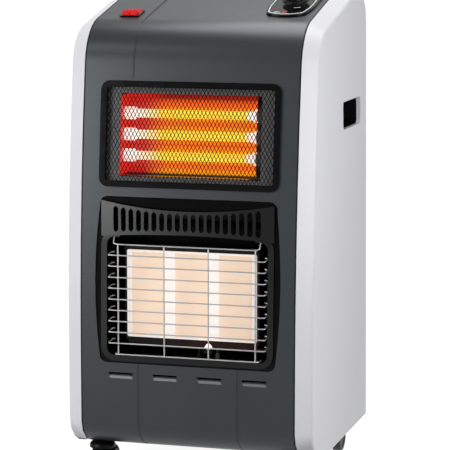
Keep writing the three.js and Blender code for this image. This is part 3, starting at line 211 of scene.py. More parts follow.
def hood_grey():
    """The slotted hood's grey heat resistant paint: satin, a shade darker than the front."""
    material, tree, place = start("grey_stove_paint", "#303132", 0.34, 0.5, Coat_Weight=0.6, Coat_Roughness=0.28)
    cloud = put(tree, "ShaderNodeTexNoise", {"Vector": place, "Scale": 1 / 0.04, "Detail": 2.0}).outputs["Fac"]
    tone = put(tree, "ShaderNodeMix", {"Factor": cloud, 6: linear("#2c2d2e"), 7: linear("#343536")},
               data_type="RGBA").outputs[2]
    # painted shade: near black round the foot of the mouth
    part = put(tree, "ShaderNodeSeparateXYZ", {"Vector": place})
    unshaded = put(tree, "ShaderNodeMapRange",
                {"Value": part.outputs["Z"], "From Min": 0.215, "From Max": 0.26}).outputs["Result"]
    tone = put(tree, "ShaderNodeMix", {"Factor": unshaded, 6: linear("#080809"), 7: tone},
               data_type="RGBA").outputs[2]
    # painted shade: darker towards both ends, most so at the right
    right = put(tree, "ShaderNodeMapRange", {"Value": part.outputs["X"], "From Min": -0.02, "From Max": 0.1,
                                             "To Min": 0.0, "To Max": 0.85}).outputs["Result"]
    left = put(tree, "ShaderNodeMapRange", {"Value": part.outputs["X"], "From Min": -0.11, "From Max": -0.07,
                                            "To Min": 0.45, "To Max": 0.0}).outputs["Result"]
    dark = put(tree, "ShaderNodeMath", {0: right, 1: left}, operation="MAXIMUM").outputs[0]
    tone = put(tree, "ShaderNodeMix", {"Factor": dark, 6: tone, 7: linear("#0f0f10")},
               data_type="RGBA").outputs[2]
    feed(tree, Base_Color=tone)
    grain(tree, place, 1.8, 2.0, relief=0.04)
    return material


def sheet_steel():
    """Zinc-coated mild steel sheet: dull, with spangle and rolling marks."""
    material, tree, place = start("galvanised_sheet", "#9a9c9e", 0.45, 0.9)
    spangle = put(tree, "ShaderNodeTexVoronoi", {"Vector": place, "Scale": 1 / 0.009}).outputs["Color"]
    tone = put(tree, "ShaderNodeMix", {"Factor": spangle, 6: linear("#8b8d8f"), 7: linear("#a8aaac")},
               data_type="RGBA").outputs[2]
    marks = put(tree, "ShaderNodeMapping", {"Vector": place, "Scale": (1, 1, 30)}).outputs["Vector"]
    lines = put(tree, "ShaderNodeTexNoise", {"Vector": marks, "Scale": 1 / 0.03, "Detail": 2.0}).outputs["Fac"]
    gloss = put(tree, "ShaderNodeMapRange", {"Value": lines, "To Min": 0.36, "To Max": 0.54}).outputs["Result"]
    feed(tree, Base_Color=tone, Roughness=gloss)
    return material


def sheet_in_painted_shade():
    """The same zinc-coated sheet in a dark tone: painted shade for the bulkhead seen through the hood's slots."""
    material, tree, place = start("bulkhead_shade_sheet", "#2b2c2d", 0.6, 0.4)
    spangle = put(tree, "ShaderNodeTexVoronoi", {"Vector": place, "Scale": 1 / 0.009}).outputs["Color"]
    tone = put(tree, "ShaderNodeMix", {"Factor": spangle, 6: linear("#232425"), 7: linear("#343536")},
               data_type="RGBA").outputs[2]
    feed(tree, Base_Color=tone)
    return material


def housing_with_painted_glow():
    """Stove black burner body; below the plaques a painted dull red glow, the reflected light of pilot and plaques,
    grows towards the pilot.
    """
    material, tree, place = start("burner_enamel_painted_glow", "#141313", 0.5, Specular_IOR_Level=0.2,
                                  Emission_Color=linear("#ff5040"))
    scale = put(tree, "ShaderNodeTexNoise", {"Vector": place, "Scale": 1 / 0.02, "Detail": 3.0}).outputs["Fac"]
    tone = put(tree, "ShaderNodeMix", {"Factor": scale, 6: linear("#0e0e0e"), 7: linear("#181716")},
               data_type="RGBA").outputs[2]
    # painted reflected light: a dull red emission below the plaques, rising towards the pilot
    part = put(tree, "ShaderNodeSeparateXYZ", {"Vector": place})
    along = put(tree, "ShaderNodeMapRange", {"Value": part.outputs["X"], "From Min": -0.06, "From Max": 0.0,
                                             "To Min": 0.0, "To Max": 0.012}).outputs["Result"]
    under = put(tree, "ShaderNodeMapRange", {"Value": part.outputs["Z"], "From Min": 0.238, "From Max": 0.241,
                                             "To Min": 1.0, "To Max": 0.0}).outputs["Result"]
    glow = put(tree, "ShaderNodeMath", {0: along, 1: under}, operation="MULTIPLY").outputs[0]
    feed(tree, Base_Color=tone, Emission_Strength=glow)
    return material


def pilot_flame():
    """The pilot's small flame: pinkish white, bluer at its foot."""
    material, tree, place = start("pilot_flame", "#ffe8e0", 0.6, Emission_Strength=1.0)
    height = put(tree, "ShaderNodeSeparateXYZ", {"Vector": place}).outputs["Z"]
    climb = put(tree, "ShaderNodeMapRange", {"Value": height, "From Min": 0.229, "From Max": 0.233}).outputs["Result"]
    tone = put(tree, "ShaderNodeMix", {"Factor": climb, 6: linear("#8878c8"), 7: linear("#ffdcd4")},
               data_type="RGBA").outputs[2]
    feed(tree, Emission_Color=tone)
    return material


def chrome_wire():
    """Nickel plate on drawn wire: bright but not a mirror, with faint drawing lines."""
    return plain_finish("plated_wire", "#d4d5d6", 0.3, 0.7, 1.5, 2.0, gloss=(0.26, 0.38))


def turned_brass():
    """Brass bar turned on a lathe: warm, with fine tool rings."""
    material, tree, place = start("turned_brass", "#b8994f", 0.3, 1.0)
    rings = put(tree, "ShaderNodeTexWave", {"Vector": place, "Scale": 1 / 0.0016, "Distortion": 0.6}).outputs["Fac"]
    gloss = put(tree, "ShaderNodeMapRange", {"Value": rings, "To Min": 0.22, "To Max": 0.40}).outputs["Result"]
    feed(tree, Roughness=gloss)
    return material


def sooted_brass():
    """Brass pilot fittings darkened by heat and soot: brown black, hardly shining."""
    return plain_finish("sooted_brass", "#3a3025", 0.55, 0.7, 4, 3.0, ("#0d0b0a", "#221c15"))


def burner_plaque():
    """Cordierite plaque bored with rows of fine holes, its face a pale glowing peach."""
    material, tree, place = start(
        "bored_cordierite", "#e8d2be", 0.85, Emission_Color=linear("#ffd8b8"), Emission_Strength=0.28)
    warmth = put(tree, "ShaderNodeTexNoise", {"Vector": place, "Scale": 1 / 0.05, "Detail": 1.0}).outputs["Fac"]
    tone = put(tree, "ShaderNodeMix", {"Factor": warmth, 6: linear("#e6cdb6"), 7: linear("#eedccb")},
               data_type="RGBA").outputs[2]
    # real bores are 1.2 mm on a 2 mm pitch; these are on 2.6 mm so that they show
    bore = put(tree, "ShaderNodeTexVoronoi", {"Vector": place, "Scale": 1 / 0.0026, "Randomness": 0.0})
    rim = put(tree, "ShaderNodeMapRange",
              {"Value": bore.outputs["Distance"], "From Min": 0.18, "From Max": 0.34}).outputs["Result"]
    dark = put(tree, "ShaderNodeMix", {"Factor": rim, 6: linear("#dcbd9f"), 7: tone}, data_type="RGBA").outputs[2]
    bump = put(tree, "ShaderNodeBump", {"Height": rim, "Distance": 0.0004, "Strength": 0.6}).outputs["Normal"]
    feed(tree, Base_Color=dark, Normal=bump)
    return material


def fibre_gasket():
    """Pressed ceramic fibre: matt white, faintly matted, with a painted glow for the plaques' light on it."""
    return plain_finish("ceramic_fibre", "#f0ece8", 0.95, 0.0, 1.6, 4.0, ("#e8e2dc", "#f5f2ef"), relief=0.2,
                        Emission_Color=linear("#fff0e6"), Emission_Strength=0.3)


def steatite():
    """Fired steatite insulator: smooth, off-white, a little waxy, with a painted pink glow for the tubes' light on it.
    """
    material, tree, place = start(
        "steatite", "#b8a898", 0.5, Emission_Color=linear("#ffe6e0"))
    speck = put(tree, "ShaderNodeTexNoise", {"Vector": place, "Scale": 1 / 0.004, "Detail": 3.0}).outputs["Fac"]
    across = put(tree, "ShaderNodeSeparateXYZ", {"Vector": place}).outputs["X"]
    # painted shade: the outer end of each right-hand cap is painted near black and does not glow
    unshaded = put(tree, "ShaderNodeMapRange", {"Value": across, "From Min": 0.1005, "From Max": 0.103,
                                             "To Min": 1.0, "To Max": 0.03}).outputs["Result"]
    tone = put(tree, "ShaderNodeMix", {"Factor": speck, 6: linear("#b0a090"), 7: linear("#c4b6a6")},
               data_type="RGBA").outputs[2]
    shade = put(tree, "ShaderNodeMix", {"Factor": unshaded, 6: linear("#060505"), 7: tone}, data_type="RGBA").outputs[2]
    bump = put(tree, "ShaderNodeBump", {"Height": speck, "Distance": 0.0001}).outputs["Normal"]
    feed(tree, Base_Color=shade, Emission_Strength=unshaded, Normal=bump)
    return material


def electrode_ceramic():
    """Glazed igniter insulator, smoked by the pilot flame: a dull dark brown."""
    return plain_finish("smoked_ceramic", "#2a2724", 0.5, 0.0, 5, 3.0, ("#171513", "#3a3630"))


def lit_quartz():
    """Fused quartz tube, lit through by the coil: yellow along its middle, pinkish white by the left caps."""
    material, tree, place = start("lit_fused_quartz", "#805020", 0.12, Emission_Strength=1.15)
    along = put(tree, "ShaderNodeSeparateXYZ", {"Vector": place}).outputs["X"]
    left = put(tree, "ShaderNodeMapRange", {"Value": along, "From Min": -0.094, "From Max": -0.052}).outputs["Result"]
    right = put(tree, "ShaderNodeMapRange", {"Value": along, "From Min": 0.083, "From Max": 0.092}).outputs["Result"]
    # a real winding has a pitch of about 3 mm; this one drifts over 20 mm so that it shows
    winding = put(tree, "ShaderNodeTexWave", {"Vector": place, "Scale": 1 / 0.02, "Distortion": 0.4}).outputs["Fac"]
    body = put(tree, "ShaderNodeMix", {"Factor": winding, 6: linear("#ffc62c"), 7: linear("#ffe24e")},
               data_type="RGBA").outputs[2]
    first = put(tree, "ShaderNodeMix", {"Factor": left, 6: linear("#fff0e6"), 7: body}, data_type="RGBA").outputs[2]
    both = put(tree, "ShaderNodeMix", {"Factor": right, 6: first, 7: linear("#fff2ec")}, data_type="RGBA").outputs[2]
    feed(tree, Emission_Color=both)
    return material


def glowing_coil():
    """Resistance wire at work: yellow-white heat, wound in fine turns."""
    material, tree, place = start("glowing_resistance_wire", "#ffb050", 0.6, Emission_Strength=1.6)
    turns = put(tree, "ShaderNodeTexWave", {"Vector": place, "Scale": 1 / 0.0024, "Distortion": 0.2}).outputs["Fac"]
    heat = put(tree, "ShaderNodeMix", {"Factor": turns, 6: linear("#ff8a20"), 7: linear("#ffe08a")},
               data_type="RGBA").outputs[2]
    feed(tree, Emission_Color=heat)
    return material


def lit_reflector():
    """Bright rolled aluminium behind the tubes, with a painted glow for the tubes' light: orange by each tube, deep
    red between, plain metal on its flange.
    """
    material, tree, place = start("lit_aluminium_reflector", "#c9cacb", 0.3, 0.4)
    part = put(tree, "ShaderNodeSeparateXYZ", {"Vector": place})
    low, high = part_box("quartz_tube_lower")[0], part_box("quartz_tube_upper")[1]
    middle = (low[2] + high[2]) / 2
    reach = (high[2] - low[2]) / 2
    rise = put(tree, "ShaderNodeMath", {0: part.outputs["Z"], 1: middle}, operation="SUBTRACT").outputs[0]
    pitch = put(tree, "ShaderNodeMath", {0: rise, 1: TUBE_PITCH}, operation="DIVIDE").outputs[0]
    wrapped = put(tree, "ShaderNodeMath", {0: pitch, 1: -0.5, 2: 0.5}, operation="WRAP").outputs[0]
    near = put(tree, "ShaderNodeMath", {0: wrapped}, operation="ABSOLUTE").outputs[0]
    edge = put(tree, "ShaderNodeMath", {0: rise}, operation="ABSOLUTE").outputs[0]
    beyond = put(tree, "ShaderNodeMapRange",
                 {"Value": rise, "From Min": reach - TUBE_PITCH / 3,
                  "From Max": reach + TUBE_PITCH * 2 / 3}).outputs["Result"]
    # painted reflected light: heat here is the distance from the nearest tube, which sets the glow's tone
    heat = put(tree, "ShaderNodeMath", {0: near, 1: beyond}, operation="MAXIMUM").outputs[0]
    warm = put(tree, "ShaderNodeMapRange", {"Value": heat, "From Min": 0.12, "From Max": 0.5}).outputs["Result"]
    deep = put(tree, "ShaderNodeMapRange", {"Value": heat, "From Min": 0.62, "From Max": 0.85}).outputs["Result"]
    orange = put(tree, "ShaderNodeMix", {"Factor": warm, 6: linear("#ff9c10"), 7: linear("#f65c10")},
                 data_type="RGBA").outputs[2]
    full = put(tree, "ShaderNodeMix", {"Factor": deep, 6: orange, 7: linear("#8c1810")}, data_type="RGBA").outputs[2]
    # the painted glow is a darker crimson at the left end of each trough
    left = put(tree, "ShaderNodeMapRange",
               {"Value": part.outputs["X"], "From Min": -0.086, "From Max": -0.05}).outputs["Result"]
    glow = put(tree, "ShaderNodeMix", {"Factor": left, 6: linear("#c81e18"), 7: full}, data_type="RGBA").outputs[2]
    # the lit part of the troughs ends a little short of their end walls; its middle is 9.5 mm to the left
    side = put(tree, "ShaderNodeMath", {0: part.outputs["X"], 1: 0.0095}, operation="ADD").outputs[0]
    side = put(tree, "ShaderNodeMath", {0: side}, operation="ABSOLUTE").outputs[0]
    ends = put(tree, "ShaderNodeMapRange",
               {"Value": side, "From Min": 0.105, "From Max": 0.1065, "To Min": 1.0, "To Max": 0.0}).outputs["Result"]
    top = put(tree, "ShaderNodeMapRange",
              {"Value": edge, "From Min": 0.0605, "From Max": 0.0635, "To Min": 1.0, "To Max": 0.0}).outputs["Result"]
    inside = put(tree, "ShaderNodeMath", {0: ends, 1: top}, operation="MULTIPLY").outputs[0]
    strength = put(tree, "ShaderNodeMath", {0: inside, 1: 1.15}, operation="MULTIPLY").outputs[0]
    # painted shade: near black beside the mouths, then plain flange
    out = put(tree, "ShaderNodeMath", {0: part.outputs["X"]}, operation="ABSOLUTE").outputs[0]
    ring = put(tree, "ShaderNodeMapRange",
               {"Value": out, "From Min": 0.1125, "From Max": 0.1145}).outputs["Result"]
    plain = put(tree, "ShaderNodeMix", {"Factor": ring, 6: linear("#0c0a0a"), 7: linear("#7e7e80")},
                data_type="RGBA").outputs[2]
    rows = put(tree, "ShaderNodeMapRange",
               {"Value": edge, "From Min": 0.0635, "From Max": 0.0645}).outputs["Result"]
    flange = put(tree, "ShaderNodeMix", {"Factor": rows, 6: plain, 7: linear("#7e7e80")},
                 data_type="RGBA").outputs[2]
    tone = put(tree, "ShaderNodeMix", {"Factor": inside, 6: flange, 7: linear("#5a3024")},
               data_type="RGBA").outputs[2]
    feed(tree, Base_Color=tone, Emission_Color=glow, Emission_Strength=strength)
    return material


def red_lens():
    """Clear red polycarbonate rocker: glossy, deep, lit a little from inside."""
    return plain_finish("red_polycarbonate", "#d0101a", 0.3, 0.0, 8, 1.0, ("#b00c15", "#e01c22"),
                        Specular_IOR_Level=0.2, Emission_Color=linear("#ff1c14"), Emission_Strength=0.15)


def nylon_wheel():
    """Hard black nylon tread and hub: dull, scuffed by the floor."""
    return plain_finish("black_nylon_wheel", "#0c0c0d", 0.5, 0.0, 4, 4.0, ("#0a0a0b", "#18181a"), (0.4, 0.65), 0.1)


def expanded_steel():
    """Expanded steel, slit and stretched, black enamel rubbed a little bright on the strands."""
    return plain_finish("expanded_steel", "#070707", 0.5, 0.0, 6, 3.0, ("#050505", "#0d0d0e"),
                        Specular_IOR_Level=0.12)


def seal_rubber():
    """Extruded EPDM strip in the joint between front and sides: matt black."""
    return plain_finish("epdm_strip", "#0a0a0b", 0.7, 0.0, 3, 3.0, gloss=(0.6, 0.8))


def printed_ink(name, colour, thin):
    """Screen-printed ink: matt, a little uneven."""
    return plain_finish(name, colour, 0.6, 0.0, 3, 3.0, (thin, colour))


finishes = {
    "pearl_paint": pearl_paint(), "slate_paint": slate_paint(), "black_plastic": black_moulding(),
    "black_metal": stove_black(), "bare_steel": sheet_steel(), "chrome": chrome_wire(),
    "brass": turned_brass(), "plaque_ceramic": burner_plaque(), "white_ceramic": steatite(),
    "quartz": lit_quartz(), "glowing_coil": glowing_coil(), "red_plastic": red_lens(),
    "black_rubber": nylon_wheel(),
}
grey_hood = hood_grey()
gloss_black = gloss_moulding()
white_ink = printed_ink("white_ink", "#e8e8e8", "#cfcfcf")
red_ink = printed_ink("red_ink", "#b0242c", "#8c1a20")
seal_strip = seal_rubber()


# ------------------------------------------------------------------------------ mesh helpers
def copy_of(name):
    """A merged copy of a CAD node, its flat faces made whole."""
    build = bmesh.new()
    build.from_mesh(nodes[name].data)
    build.transform(nodes[name].matrix_world)
    bmesh.ops.remove_doubles(build, verts=build.verts, dist=1e-6)
    bmesh.ops.dissolve_limit(build, angle_limit=math.radians(0.5), verts=build.verts, edges=build.edges)
    return build


def creases(build, limit):
    """The edges whose two faces meet at more than an angle."""
    return [edge for edge in build.edges if len(edge.link_faces) == 2 and edge.calc_face_angle() > limit]


def soften(build, edges, width, segments=2):
    """Rounds some edges of a bmesh."""
    bmesh.ops.bevel(build, geom=edges, offset=width, segments=segments, profile=0.5, affect="EDGES",
                    material=-1, clamp_overlap=True)


def round_edges(build, width):
    """Breaks the sharp edges of a bmesh."""
    soften(build, creases(build, math.radians(30)), width)


def piece(name, build, material, body, limit=math.radians(32), stands_for=()):
    """A finished bmesh becomes an object that rides on a body, smooth up to the limit."""
    bmesh.ops.triangulate(build, faces=[face for face in build.faces if len(face.verts) > 4])
    for face in build.faces:
        face.smooth = True
    for edge in build.edges:
        edge.smooth = len(edge.link_faces) == 2 and edge.calc_face_angle() < limit
    mesh = bpy.data.meshes.new(name)
    build.to_mesh(mesh)
    build.free()
    for finish in material if isinstance(material, list) else [material]:
        mesh.materials.append(finish)
    thing = bpy.data.objects.new(name, mesh)
    bpy.context.collection.objects.link(thing)
    even = thing.modifiers.new("even_shading", "WEIGHTED_NORMAL")
    even.keep_sharp = True
    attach(thing, body)
    if stands_for:
        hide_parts(*stands_for)
    return thing


def dress(name, bevel=0.0, material=None, limit=math.radians(32)):
    """A smooth-shaded copy with broken edges stands for a CAD node."""
    build = copy_of(name)
    if bevel:
        round_edges(build, bevel)
    return piece(name + "_finished", build, material or finishes[slot_of[name]], body_of[name],
                 limit, [name])


def lathe(profile, steps=48, turn=2 * math.pi, place=None):
    """A closed outline of (radius, along) turned about X, from straight up towards the front."""
    build = bmesh.new()
    loop = [build.verts.new((along * MM, 0, radius * MM)) for radius, along in profile]
    sides = [build.edges.new(pair) for pair in zip(loop, loop[1:] + loop[:1])]
    full = turn > 2 * math.pi - 1e-6
    bmesh.ops.spin(build, geom=loop + sides, axis=(1, 0, 0), cent=(0, 0, 0), angle=turn, steps=steps, use_merge=full)
    bmesh.ops.remove_doubles(build, verts=build.verts, dist=1e-6)
    if not full:
        bmesh.ops.holes_fill(build, edges=[edge for edge in build.edges if edge.is_boundary])
    bmesh.ops.recalc_face_normals(build, faces=build.faces)
    if place:
        build.transform(place)
    return build


def join(first, *others):
    """Adds the shells of other bmeshes to the first."""
    for other in others:
        spare = bpy.data.meshes.new("spare")
        other.to_mesh(spare)
        other.free()
        first.from_mesh(spare)
        bpy.data.meshes.remove(spare)
    return first


def block(x0, x1, y0, y1, z0, z1, place=None, bevel=0.0):
    """A box between planes in millimetres, its edges broken."""
    build = bmesh.new()
    middle = Vector((x0 + x1, y0 + y1, z0 + z1)) * MM / 2
    bmesh.ops.create_cube(build, size=MM, matrix=Matrix.Translation(middle) @ Matrix.Diagonal(
        (x1 - x0, y1 - y0, z1 - z0, 1)))
    if bevel:
        round_edges(build, bevel * MM)
    if place:
        build.transform(place)
    return build


def thicken(build, way):
    """Faces of no thickness become a slab that reaches along a vector."""
    push = bmesh.ops.extrude_face_region(build, geom=build.faces[:])
    moved = [item for item in push["geom"] if isinstance(item, bmesh.types.BMVert)]
    bmesh.ops.translate(build, verts=moved, vec=way)
    bmesh.ops.recalc_face_normals(build, faces=build.faces)


def bent(corners, radius):
    """A path of corners in millimetres with its bends rounded."""
    steps = 5
    points = [Vector(corner) for corner in corners]
    path = [points[0]]
    for before, corner, after in zip(points, points[1:], points[2:]):
        reach = min(radius, (before - corner).length / 2, (after - corner).length / 2)
        near = corner + (before - corner).normalized() * reach
        far = corner + (after - corner).normalized() * reach
        path += [near.lerp(corner, t / steps).lerp(corner.lerp(far, t / steps), t / steps)
                 for t in range(steps + 1)]
    return path + [points[-1]]


def drawn(name, paths, radius):
    """Round wires of one radius along paths, as a bmesh."""
    curve = bpy.data.curves.new(name, "CURVE")
    curve.dimensions = "3D"
    curve.bevel_depth = radius * MM
    curve.bevel_resolution = 3
    curve.use_fill_caps = True
    for path in paths:
        line = curve.splines.new("POLY")
        line.points.add(len(path) - 1)
        for point, place in zip(line.points, path):
            point.co = (place[0] * MM, place[1] * MM + SHIFT_Y, place[2] * MM, 1)
    thing = bpy.data.objects.new(name, curve)
    bpy.context.collection.objects.link(thing)
    bpy.context.view_layer.update()
    mesh = bpy.data.meshes.new_from_object(thing.evaluated_get(bpy.context.evaluated_depsgraph_get()))
    build = bmesh.new()
    build.from_mesh(mesh)
    bpy.data.objects.remove(thing)
    bpy.data.meshes.remove(mesh)
    bmesh.ops.remove_doubles(build, verts=build.verts, dist=1e-6)
    bmesh.ops.recalc_face_normals(build, faces=build.faces)
    return build


def on_top(x, y):
    """The frame of something that lies on the sloping top: +Z leaves the skin, +Y climbs."""
    height = TOP_HEIGHT + y * MM * math.tan(TOP_SLOPE)
    return Matrix.Translation((x * MM, y * MM + SHIFT_Y, height)) @ Matrix.Rotation(TOP_SLOPE, 4, "X")


def skin_at(height):
    """Y of the bowed front skin at a height."""
    return SKIN_FRONT + SKIN_BOW - math.sqrt(SKIN_BOW ** 2 - (height - BOW_START) ** 2)


# stands a lathe's axis upright
UPRIGHT = Matrix.Rotation(math.radians(-90), 4, "Y")


# ----------------------------------------------------------------------------- sheet cabinet
def cabinet_shell():
    """Front, sides, base and covers: the CAD sheets with smooth bends and broken edges."""
    build = copy_of("front_panel")
    # the pressed grooves' edges are soft, the cut edges of the sheet crisp
    grooves = (-92, -77.6, 83.8)
    soft = [edge for edge in creases(build, 0.4)
            if all(min(abs(vert.co.x - x * MM) for x in grooves) < 3.6 * MM for vert in edge.verts)
            and abs(edge.verts[0].co.x - edge.verts[1].co.x) < 0.1 * MM]
    soften(build, soft, 0.7 * MM)
    round_edges(build, 0.35 * MM)
    piece("front_panel_finished", build, finishes["slate_paint"], "cabinet",
          stands_for=["front_panel"])
    for side in ("left", "right"):
        build = copy_of("side_panel_" + side)
        # the long crease between the flat side and its bevelled border
        reach = max(abs(vert.co.x) for vert in build.verts) - 0.1 * MM
        border = [edge for edge in creases(build, math.radians(15)) if edge.calc_length() > 4 * MM
                  and all(abs(vert.co.x) > reach for vert in edge.verts)
                  and edge.calc_face_angle() < math.radians(75)]
        soften(build, border, 3.2 * MM, 4)
        round_edges(build, 0.8 * MM)
        piece("side_panel_%s_finished" % side, build, finishes["pearl_paint"], "cabinet",
              math.radians(40), ["side_panel_" + side])
        dress("grip_cup_" + side, 0.3 * MM)
    for name in ("base_plate", "rear_rail", "back_cover"):
        dress(name, 0.25 * MM)
    # the bulkhead wears painted shade, darker than its bare sheet
    dress("bulkhead", 0.25 * MM, sheet_in_painted_shade())


def seams():
    """A black rubber strip fills the joint on each side of the front panel, a little below the paint."""
    gap = 2.6 * MM
    for side, sign in (("left", -1), ("right", 1)):
        build = copy_of("front_panel")
        reach = max(vert.co.x * sign for vert in build.verts)
        rest = [face for face in build.faces if not all(vert.co.x * sign > reach - 1e-5 for vert in face.verts)]
        bmesh.ops.delete(build, geom=rest, context="FACES")
        bmesh.ops.inset_region(build, faces=build.faces[:], thickness=0.45 * MM, use_even_offset=True,
                               use_boundary=True)
        rim = [face for face in build.faces if any(edge.is_boundary for edge in face.edges)]
        bmesh.ops.delete(build, geom=rim, context="FACES")
        thicken(build, (sign * (gap - 0.2 * MM), 0, 0))
        bmesh.ops.translate(build, verts=build.verts, vec=(sign * 0.1 * MM, 0, 0))
        piece("seam_strip_" + side, build, seal_strip, "cabinet")


# ------------------------------------------------------------------------- electric heater
def expanded_guard():
    """Expanded steel in the plane of the front skin: diamonds on a 6.2 by 12 mm pitch, strands 1.15 mm wide."""
    height = 565.5 * MM
    flat = Matrix.Translation((0, skin_at(height), height)) @ Matrix.Rotation(
        -math.asin((height - BOW_START) / SKIN_BOW), 4, "X")
    spare = copy_of("mesh_guard")
    spare.transform(flat.inverted())
    low = Vector([min(vert.co[i] for vert in spare.verts) for i in range(3)])
    high = Vector([max(vert.co[i] for vert in spare.verts) for i in range(3)])
    spare.free()
    # a square grid, wide enough for the window, is sheared to diamonds and trimmed to the CAD sheet
    cells, wide, tall = 72, 6.2 * MM, 12 * MM
    build = bmesh.new()
    bmesh.ops.create_grid(build, x_segments=cells, y_segments=cells, size=0.5)
    run, rise = cells * wide / 2, cells * tall / 2
    build.transform(Matrix(((run, run, 0, 0), (0, 0, 1, 0), (rise, -rise, 0, 0), (0, 0, 0, 1))))
    for axis, at, way in ((0, low.x, -1), (0, high.x, 1), (2, low.z, -1), (2, high.z, 1)):
        point, normal = Vector((0, 0, 0)), Vector((0, 0, 0))
        point[axis], normal[axis] = at, way
        bmesh.ops.bisect_plane(build, geom=build.verts[:] + build.edges[:] + build.faces[:], plane_co=point,
                               plane_no=normal, clear_outer=True)
    bmesh.ops.wireframe(build, faces=build.faces[:], thickness=1.15 * MM, offset=0.0, use_replace=True,
                        use_boundary=True, use_even_offset=True)
    bmesh.ops.translate(build, verts=build.verts, vec=(0, (low.y + high.y) / 2, 0))
    build.transform(flat)
    bmesh.ops.recalc_face_normals(build, faces=build.faces)
    piece("expanded_mesh", build, expanded_steel(), "cabinet", math.radians(20),
          ["mesh_guard"])


def electric_heater():
    """Bezel, guard and reflector, and three rows of tube, coil and end caps."""
    dress("upper_bezel", 2.6 * MM, gloss_moulding("black_bezel_abs", 0.4))
    expanded_guard()
    dress("reflector", 0.0, lit_reflector(), math.radians(50))
    for row in ("upper", "middle", "lower"):
        dress("quartz_tube_" + row, 0.0, limit=math.radians(50))
        dress("heating_coil_" + row, 0.0, limit=math.radians(50))
        for side in ("left", "right"):
            dress("end_cap_%s_%s" % (row, side), 0.4 * MM, limit=math.radians(40))


# ------------------------------------------------------------------------------ gas burner
def hood_edge(x):
    """The height of the hood's curved upper edge at a distance from the middle."""
    return (468 - 12.5 * (1 - (x / (140 * MM)) ** 2)) * MM


def burner():
    """The surround with its slotted hood, and what stands in the recess."""
    build = copy_of("burner_surround")
    # rounder slot ends
    ends = [edge for edge in creases(build, 0.4)
            if abs((edge.verts[0].co - edge.verts[1].co).normalized().y) > 0.95
            and abs(edge.verts[0].co.x) < 112 * MM and 408 * MM < edge.verts[0].co.z < 460 * MM]
    soften(build, ends, 1.5 * MM, 3)
    # a softer brow along the hood's upper edge
    brow = [edge for edge in creases(build, 1.0)
            if all(vert.co.y < skin_at(vert.co.z) - 2 * MM and abs(vert.co.z - hood_edge(vert.co.x)) < 1.5 * MM
                   for vert in edge.verts)]
    soften(build, brow, 2 * MM, 3)
    round_edges(build, 0.8 * MM)
    bmesh.ops.recalc_face_normals(build, faces=build.faces)
    # the hood stands proud of the skin and is painted grey
    for face in build.faces:
        middle = face.calc_center_median()
        proud = face.normal.y < -0.35 and middle.y < skin_at(middle.z) - 0.5 * MM
        face.material_index = 1 if proud and middle.z < hood_edge(middle.x) + 0.5 * MM else 0
    piece("burner_surround_finished", build, [gloss_black, grey_hood], "cabinet",
          stands_for=["burner_surround"])
    dress("burner_shield", 0.4 * MM)
    dress("burner_housing", 0.4 * MM, housing_with_painted_glow())
    dress("plaque_gasket", 0.5 * MM, fibre_gasket())
    for place in ("left", "centre", "right"):
        dress("plaque_" + place, 0.5 * MM)
    dress("gas_manifold", 0.2 * MM, limit=math.radians(40))
    dress("pilot_burner", 0.2 * MM, sooted_brass(), math.radians(40))
    dress("thermocouple", 0.2 * MM, sooted_brass(), math.radians(40))
    dress("ignition_electrode", 0.2 * MM, electrode_ceramic(), math.radians(40))
    flame = lathe([(0, 229.5), (1.6, 230.4), (2.6, 232), (2.8, 233.6), (2.3, 235.6), (1.3, 238), (0, 240.5)], 24,
                  place=Matrix.Translation((30 * MM, -176 * MM + SHIFT_Y, 0)) @ Matrix.Diagonal((2.2, 1, 1, 1))
                  @ UPRIGHT)
    piece("pilot_flame", flame, pilot_flame(), "cabinet", math.radians(60))


def wire_guard():
    """Plated wire: nine hooked bars with four posts behind them; the top wire's ends turn up and back."""
    face, back, post = -199.0, -181.0, -196.7
    low, high, bars = 219.0, 394.0, 9
    reach, outer = 127.5, 111.5
    heights = [low + (high - low) / (bars + 1) * (i + 1) for i in range(bars)]
    paths = [bent([(-reach + 5, back + 1, z + 3.2), (-reach, back, z + 2.4), (-reach, face, z), (reach, face, z),
                   (reach, back, z + 2.4), (reach - 5, back + 1, z + 3.2)], 4) for z in heights]
    paths.append(bent([(-outer - 1, face + 13, high + 12), (-outer - 7, face + 8, high + 12),
                       (-outer - 7, face, high + 1), (-outer + 2, face, high), (outer - 2, face, high),
                       (outer + 7, face, high + 1), (outer + 7, face + 8, high + 12),
                       (outer + 1, face + 13, high + 12)], 6))
    paths.append(bent([(-outer - 6, back, low), (-outer - 6, face, low), (outer + 6, face, low),
                       (outer + 6, back, low)], 6))
    posts = [[Vector((x, post, low)), Vector((x, post, (low + high) / 2)), Vector((x, post, high))]
             for x in (-outer, -outer / 3.1, outer / 3.1, outer)]
    build = join(drawn("bars", paths, 1.05), drawn("posts", posts, 1.25))
    piece("guard_wires", build, finishes["chrome"], "cabinet", math.radians(50),
          ["wire_guard"])


# -------------------------------------------------------------------------------- controls
def control_plate():
    """The glossy plate: its upper edge rounded, with generic printed marks on it."""
    seated = on_top(*KNOB_SPOT)
    build = copy_of("control_plate")
    build.transform(seated.inverted())
    bmesh.ops.dissolve_limit(build, angle_limit=0.01, verts=build.verts, edges=build.edges)
    crown = max(vert.co.z for vert in build.verts)
    rim = [edge for edge in creases(build, 0.5)
           if all(vert.co.z > crown - 1e-5 and vert.co.xy.length > 12 * MM for vert in edge.verts)]
    soften(build, rim, 1.2 * MM, 3)
    build.transform(seated)
    piece("control_plate_finished", build, gloss_black, "cabinet",
          stands_for=["control_plate"])
    outline(seated, crown)
    marks(seated, crown / MM)


